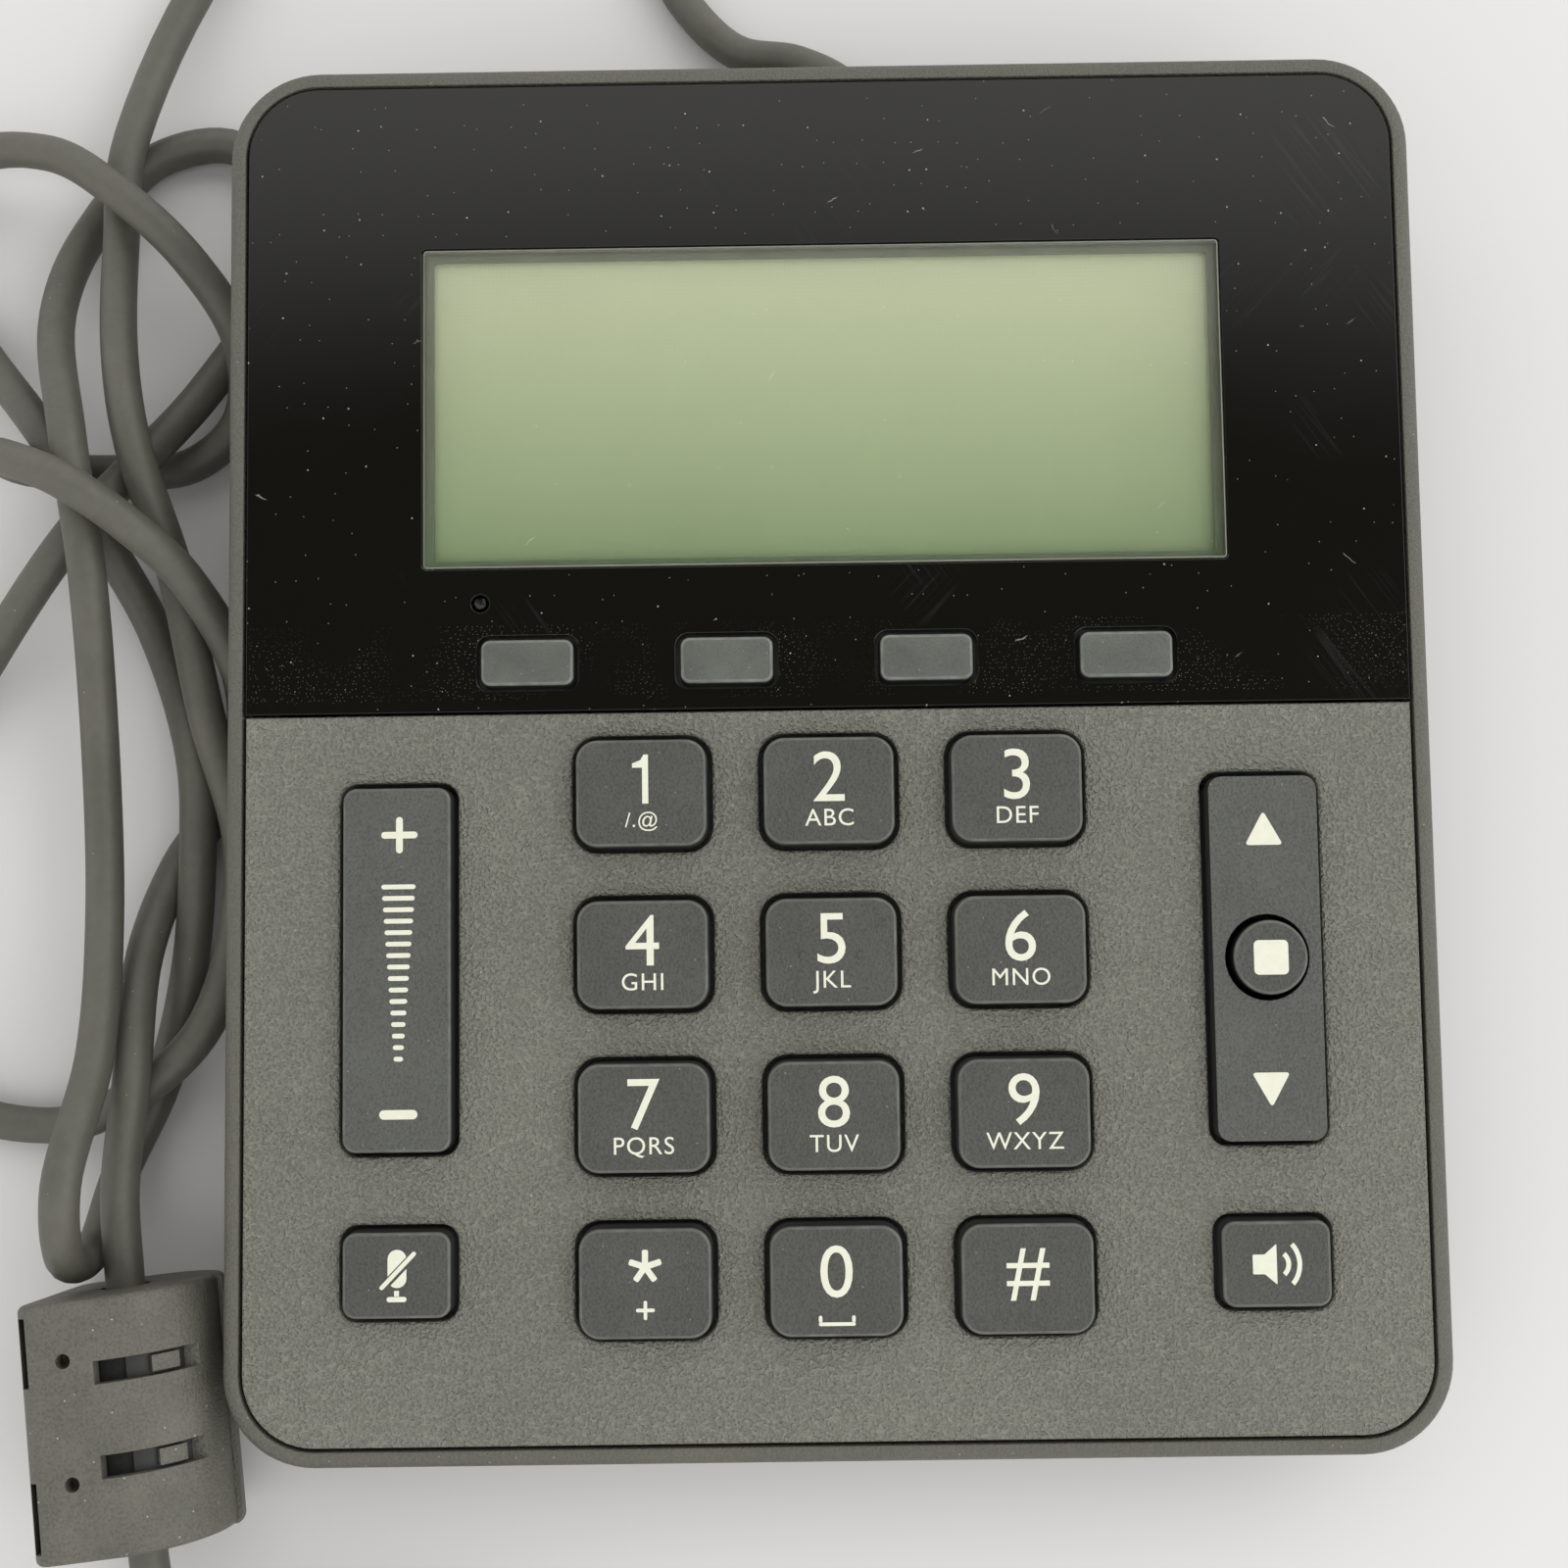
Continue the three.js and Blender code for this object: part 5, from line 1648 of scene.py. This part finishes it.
class UNIT_OT_ferrite(bpy.types.Operator):
    """The clip-on ferrite: two case halves, two core halves, the latch tongues and the hinge"""

    bl_idname = "unit.ferrite"
    bl_label = "Ferrite"

    def latch_tongue(self, number, row):
        """A raised tongue on a root that fills the bottom of its slot; the root is near black as painted
        shade.
        """
        bm = bmesh.new()
        for radius, thickness, half_width, start, end in TONGUE:
            before = set(bm.faces)
            arc(bm, 0, 0, radius * MM, thickness * MM, math.radians(start), math.radians(end))
            fresh = [face for face in bm.faces if face not in before]
            verts = list({vertex for face in fresh for vertex in face.verts})
            bmesh.ops.translate(bm, vec=(0, 0, (row - half_width) * MM), verts=verts)
            raise_faces(bm, fresh, 2 * half_width * MM)
        # The root is coloured as painted shade at the bottom of the slot.
        for face in bm.faces:
            if max(vertex.co.xy.length for vertex in face.verts) < TONGUE_ROOT:
                face.material_index = ROOT
        coats = finishes("ferrite_case_plastic", "tongue_plastic")
        tongue = make_piece(bm, f"latch_tongue_{number}", coats, LYING)
        finish_piece(tongue, "ferrite_lid")

    def core(self, bm):
        """A whole core with its bore."""
        tube(bm, CORE_RADIUS, CORE_BORE, -CORE_HALF, CORE_HALF)
        round_edges(bm, level_edges(bm, -CORE_HALF) + level_edges(bm, CORE_HALF), 0.4 * MM, 2)

    def execute(self, context):
        ferrite_half("ferrite_lower", -1, lambda bm: ferrite_block(bm, LIP), "ferrite_case_plastic",
                     ferrite_hollow(), "root", "ferrite_case_lower")
        slots = [cutter(box, (-0.6 * MM, 12 * MM), (4.5 * MM, 12 * MM),
                        ((row - 1.15) * MM, (row + 1.15) * MM))
                 for row in LATCH_ROWS]
        upright = Matrix.Rotation(-math.pi / 2, 4, "X")
        pins = [cutter(post, 0.75 * MM, 7.6 * MM, 12 * MM, steps=24,
                       matrix=Matrix.Translation((-3.6 * MM, 0, row * MM)) @ upright)
                for row in PIN_ROWS]
        ferrite_half("ferrite_upper", 1, ferrite_block, "ferrite_case_plastic",
                     [*ferrite_hollow(), *slots, *pins], "ferrite_lid", "ferrite_case_upper")
        for number, row in enumerate(LATCH_ROWS, 1):
            self.latch_tongue(number, row)
        bm = bmesh.new()
        post(bm, 0.5 * MM, -6 * MM, 6 * MM, -8.6 * MM, 0, 20, 0.15 * MM)
        hinge = make_piece(bm, "ferrite_hinge", finishes("ferrite_case_plastic"), LYING)
        finish_piece(hinge, "root")
        for name, side, body in (("lower", -1, "root"), ("upper", 1, "ferrite_lid")):
            ferrite_half(f"ferrite_{name}_core", side, self.core, "ferrite", [], body, f"ferrite_core_{name}")
        return {"FINISHED"}


class UNIT_OT_cord_facts(bpy.types.Operator):
    """Reads the cord's sizes and does nothing more"""

    bl_idname = "unit.cord_facts"
    bl_label = "Cord facts"

    def execute(self, context):
        sizes = settings("unit_cord")
        return {"FINISHED"}


# ---------------------------------------------------------------- stage

DARK_MIDDLE = (-0.02, 0.075)  # the ellipse over the camera, as a direction's first two parts
DARK_REACH = (0.42, 0.135)
CAMERA_PLACE = Vector((-3.909, -29.663, 220.675)) * MM
CAMERA_AIM = Vector((-4.6, -4.0, 19.7)) * MM
CAMERA_UP = Vector((0.0137, 1, 0))
FOCAL_LENGTH = 45
SENSOR_WIDTH = 36
FLOOR_HALF = 15  # metres from the middle to its edge
# Name, place, width and height in metres, and power in watts.
LAMPS = (
    ("soft_lamp", (0.8, 0.45, 0.75), 0.9, 0.7, 1.8),
    ("low_lamp", (0.35, -0.26, 0.45), 0.4, 0.3, 0.45),
)


def looking(place, aim, up):
    """The matrix of a camera or lamp at a place, turned to an aim."""
    back = (place - aim).normalized()
    right = up.cross(back).normalized()
    turn = Matrix((right, back.cross(right), back)).transposed()
    return Matrix.Translation(place) @ turn.to_4x4()


def sky():
    """A soft studio: bright walls and ceiling with a dark ellipse over the camera, brighter on the right."""
    world = bpy.data.worlds.new("studio")
    world.use_nodes = True
    tree = world.node_tree

    def node(kind, inputs, **values):
        made = tree.nodes.new(kind)
        for name, value in values.items():
            setattr(made, name, value)
        for name, value in inputs.items():
            if isinstance(value, bpy.types.NodeSocket):
                tree.links.new(value, made.inputs[name])
            else:
                made.inputs[name].default_value = value
        return made.outputs

    direction = node("ShaderNodeTexCoord", {})["Generated"]
    shift = [-middle / reach for middle, reach in zip(DARK_MIDDLE, DARK_REACH)]
    scale = [1 / reach for reach in DARK_REACH]
    inputs = {"Vector": direction, "Location": (*shift, 0), "Scale": (*scale, 0)}
    mapped = node("ShaderNodeMapping", inputs)["Vector"]
    reach = node("ShaderNodeVectorMath", {0: mapped}, operation="LENGTH")["Value"]
    bright = node("ShaderNodeMapRange", {"Value": reach, "From Min": 0.95, "From Max": 2.2, "To Min": 0.04,
                                         "To Max": 1.2}, interpolation_type="SMOOTHSTEP")["Result"]
    parts = node("ShaderNodeSeparateXYZ", {"Vector": direction})
    lean = node("ShaderNodeMapRange", {"Value": parts["X"], "From Min": -1, "From Max": 1, "To Min": 0.92,
                                       "To Max": 1.12})["Result"]
    strength = node("ShaderNodeMath", {0: bright, 1: lean}, operation="MULTIPLY")["Value"]
    background = tree.nodes["Background"]
    background.inputs["Color"].default_value = (1, 0.99, 0.965, 1)
    tree.links.new(strength, background.inputs["Strength"])
    bpy.context.scene.world = world


class UNIT_OT_stage(bpy.types.Operator):
    """The camera, the pale table top, the soft lamp and the studio round them"""

    bl_idname = "unit.stage"
    bl_label = "Stage"

    def lamp(self, context, name, place, width, height, power):
        """A soft lamp that faces the middle of the table."""
        light = bpy.data.lights.new(name, "AREA")
        light.shape = "RECTANGLE"
        light.size = width
        light.size_y = height
        light.energy = power
        lamp = bpy.data.objects.new(name, light)
        lamp.matrix_world = looking(Vector(place), Vector((0, 0, 0)), Vector((0, 0, 1)))
        context.scene.collection.objects.link(lamp)
        return lamp

    def execute(self, context):
        scene = context.scene
        scene.view_settings.view_transform = "Standard"
        lens = bpy.data.cameras.new("camera")
        lens.lens = FOCAL_LENGTH
        lens.sensor_width = SENSOR_WIDTH
        lens.clip_start = 10 * MM
        camera = bpy.data.objects.new("camera", lens)
        camera.matrix_world = looking(CAMERA_PLACE, CAMERA_AIM, CAMERA_UP)
        scene.collection.objects.link(camera)
        scene.camera = camera
        bm = bmesh.new()
        bmesh.ops.create_grid(bm, x_segments=1, y_segments=1, size=FLOOR_HALF)
        floor = make_piece(bm, "table_top", finishes("table_top"))
        lamps = [self.lamp(context, *facts) for facts in LAMPS]
        sky()
        return {"FINISHED"}


# ---------------------------------------------------------------- add-on

OPERATORS = (
    UNIT_OT_stage,
    UNIT_OT_cord,
    UNIT_OT_rim,
    UNIT_OT_bottom_case,
    UNIT_OT_keypad_panel,
    UNIT_OT_display_panel,
    UNIT_OT_window,
    UNIT_OT_number_keys,
    UNIT_OT_soft_keys,
    UNIT_OT_side_keys,
    UNIT_OT_rockers,
    UNIT_OT_inside,
    UNIT_OT_feet,
    UNIT_OT_screws,
    UNIT_OT_strain_relief,
    UNIT_OT_tie,
    UNIT_OT_plug,
    UNIT_OT_ferrite,
    UNIT_OT_cord_facts,
)


class UNIT_PT_panel(bpy.types.Panel):
    """Settings and build steps"""

    bl_idname = "UNIT_PT_panel"
    bl_label = "Control unit"
    bl_space_type = "VIEW_3D"
    bl_region_type = "UI"
    bl_category = "Control unit"

    def draw(self, context):
        for name, group in SETTINGS.items():
            for key in group.__annotations__:
                self.layout.prop(getattr(context.scene, name), key)
        for operator in OPERATORS:
            self.layout.operator(operator.bl_idname)


def register():
    for group in (*SETTINGS.values(), *OPERATORS, UNIT_PT_panel):
        bpy.utils.register_class(group)
    for name, group in SETTINGS.items():
        setattr(bpy.types.Scene, name, PointerProperty(type=group))


def unregister():
    for name in SETTINGS:
        delattr(bpy.types.Scene, name)
    for group in reversed((*SETTINGS.values(), *OPERATORS, UNIT_PT_panel)):
        bpy.utils.unregister_class(group)


def main():
    register()
    for operator in OPERATORS:
        family, step = operator.bl_idname.split(".")
        getattr(getattr(bpy.ops, family), step)()


if __name__ == "__main__":
    main()
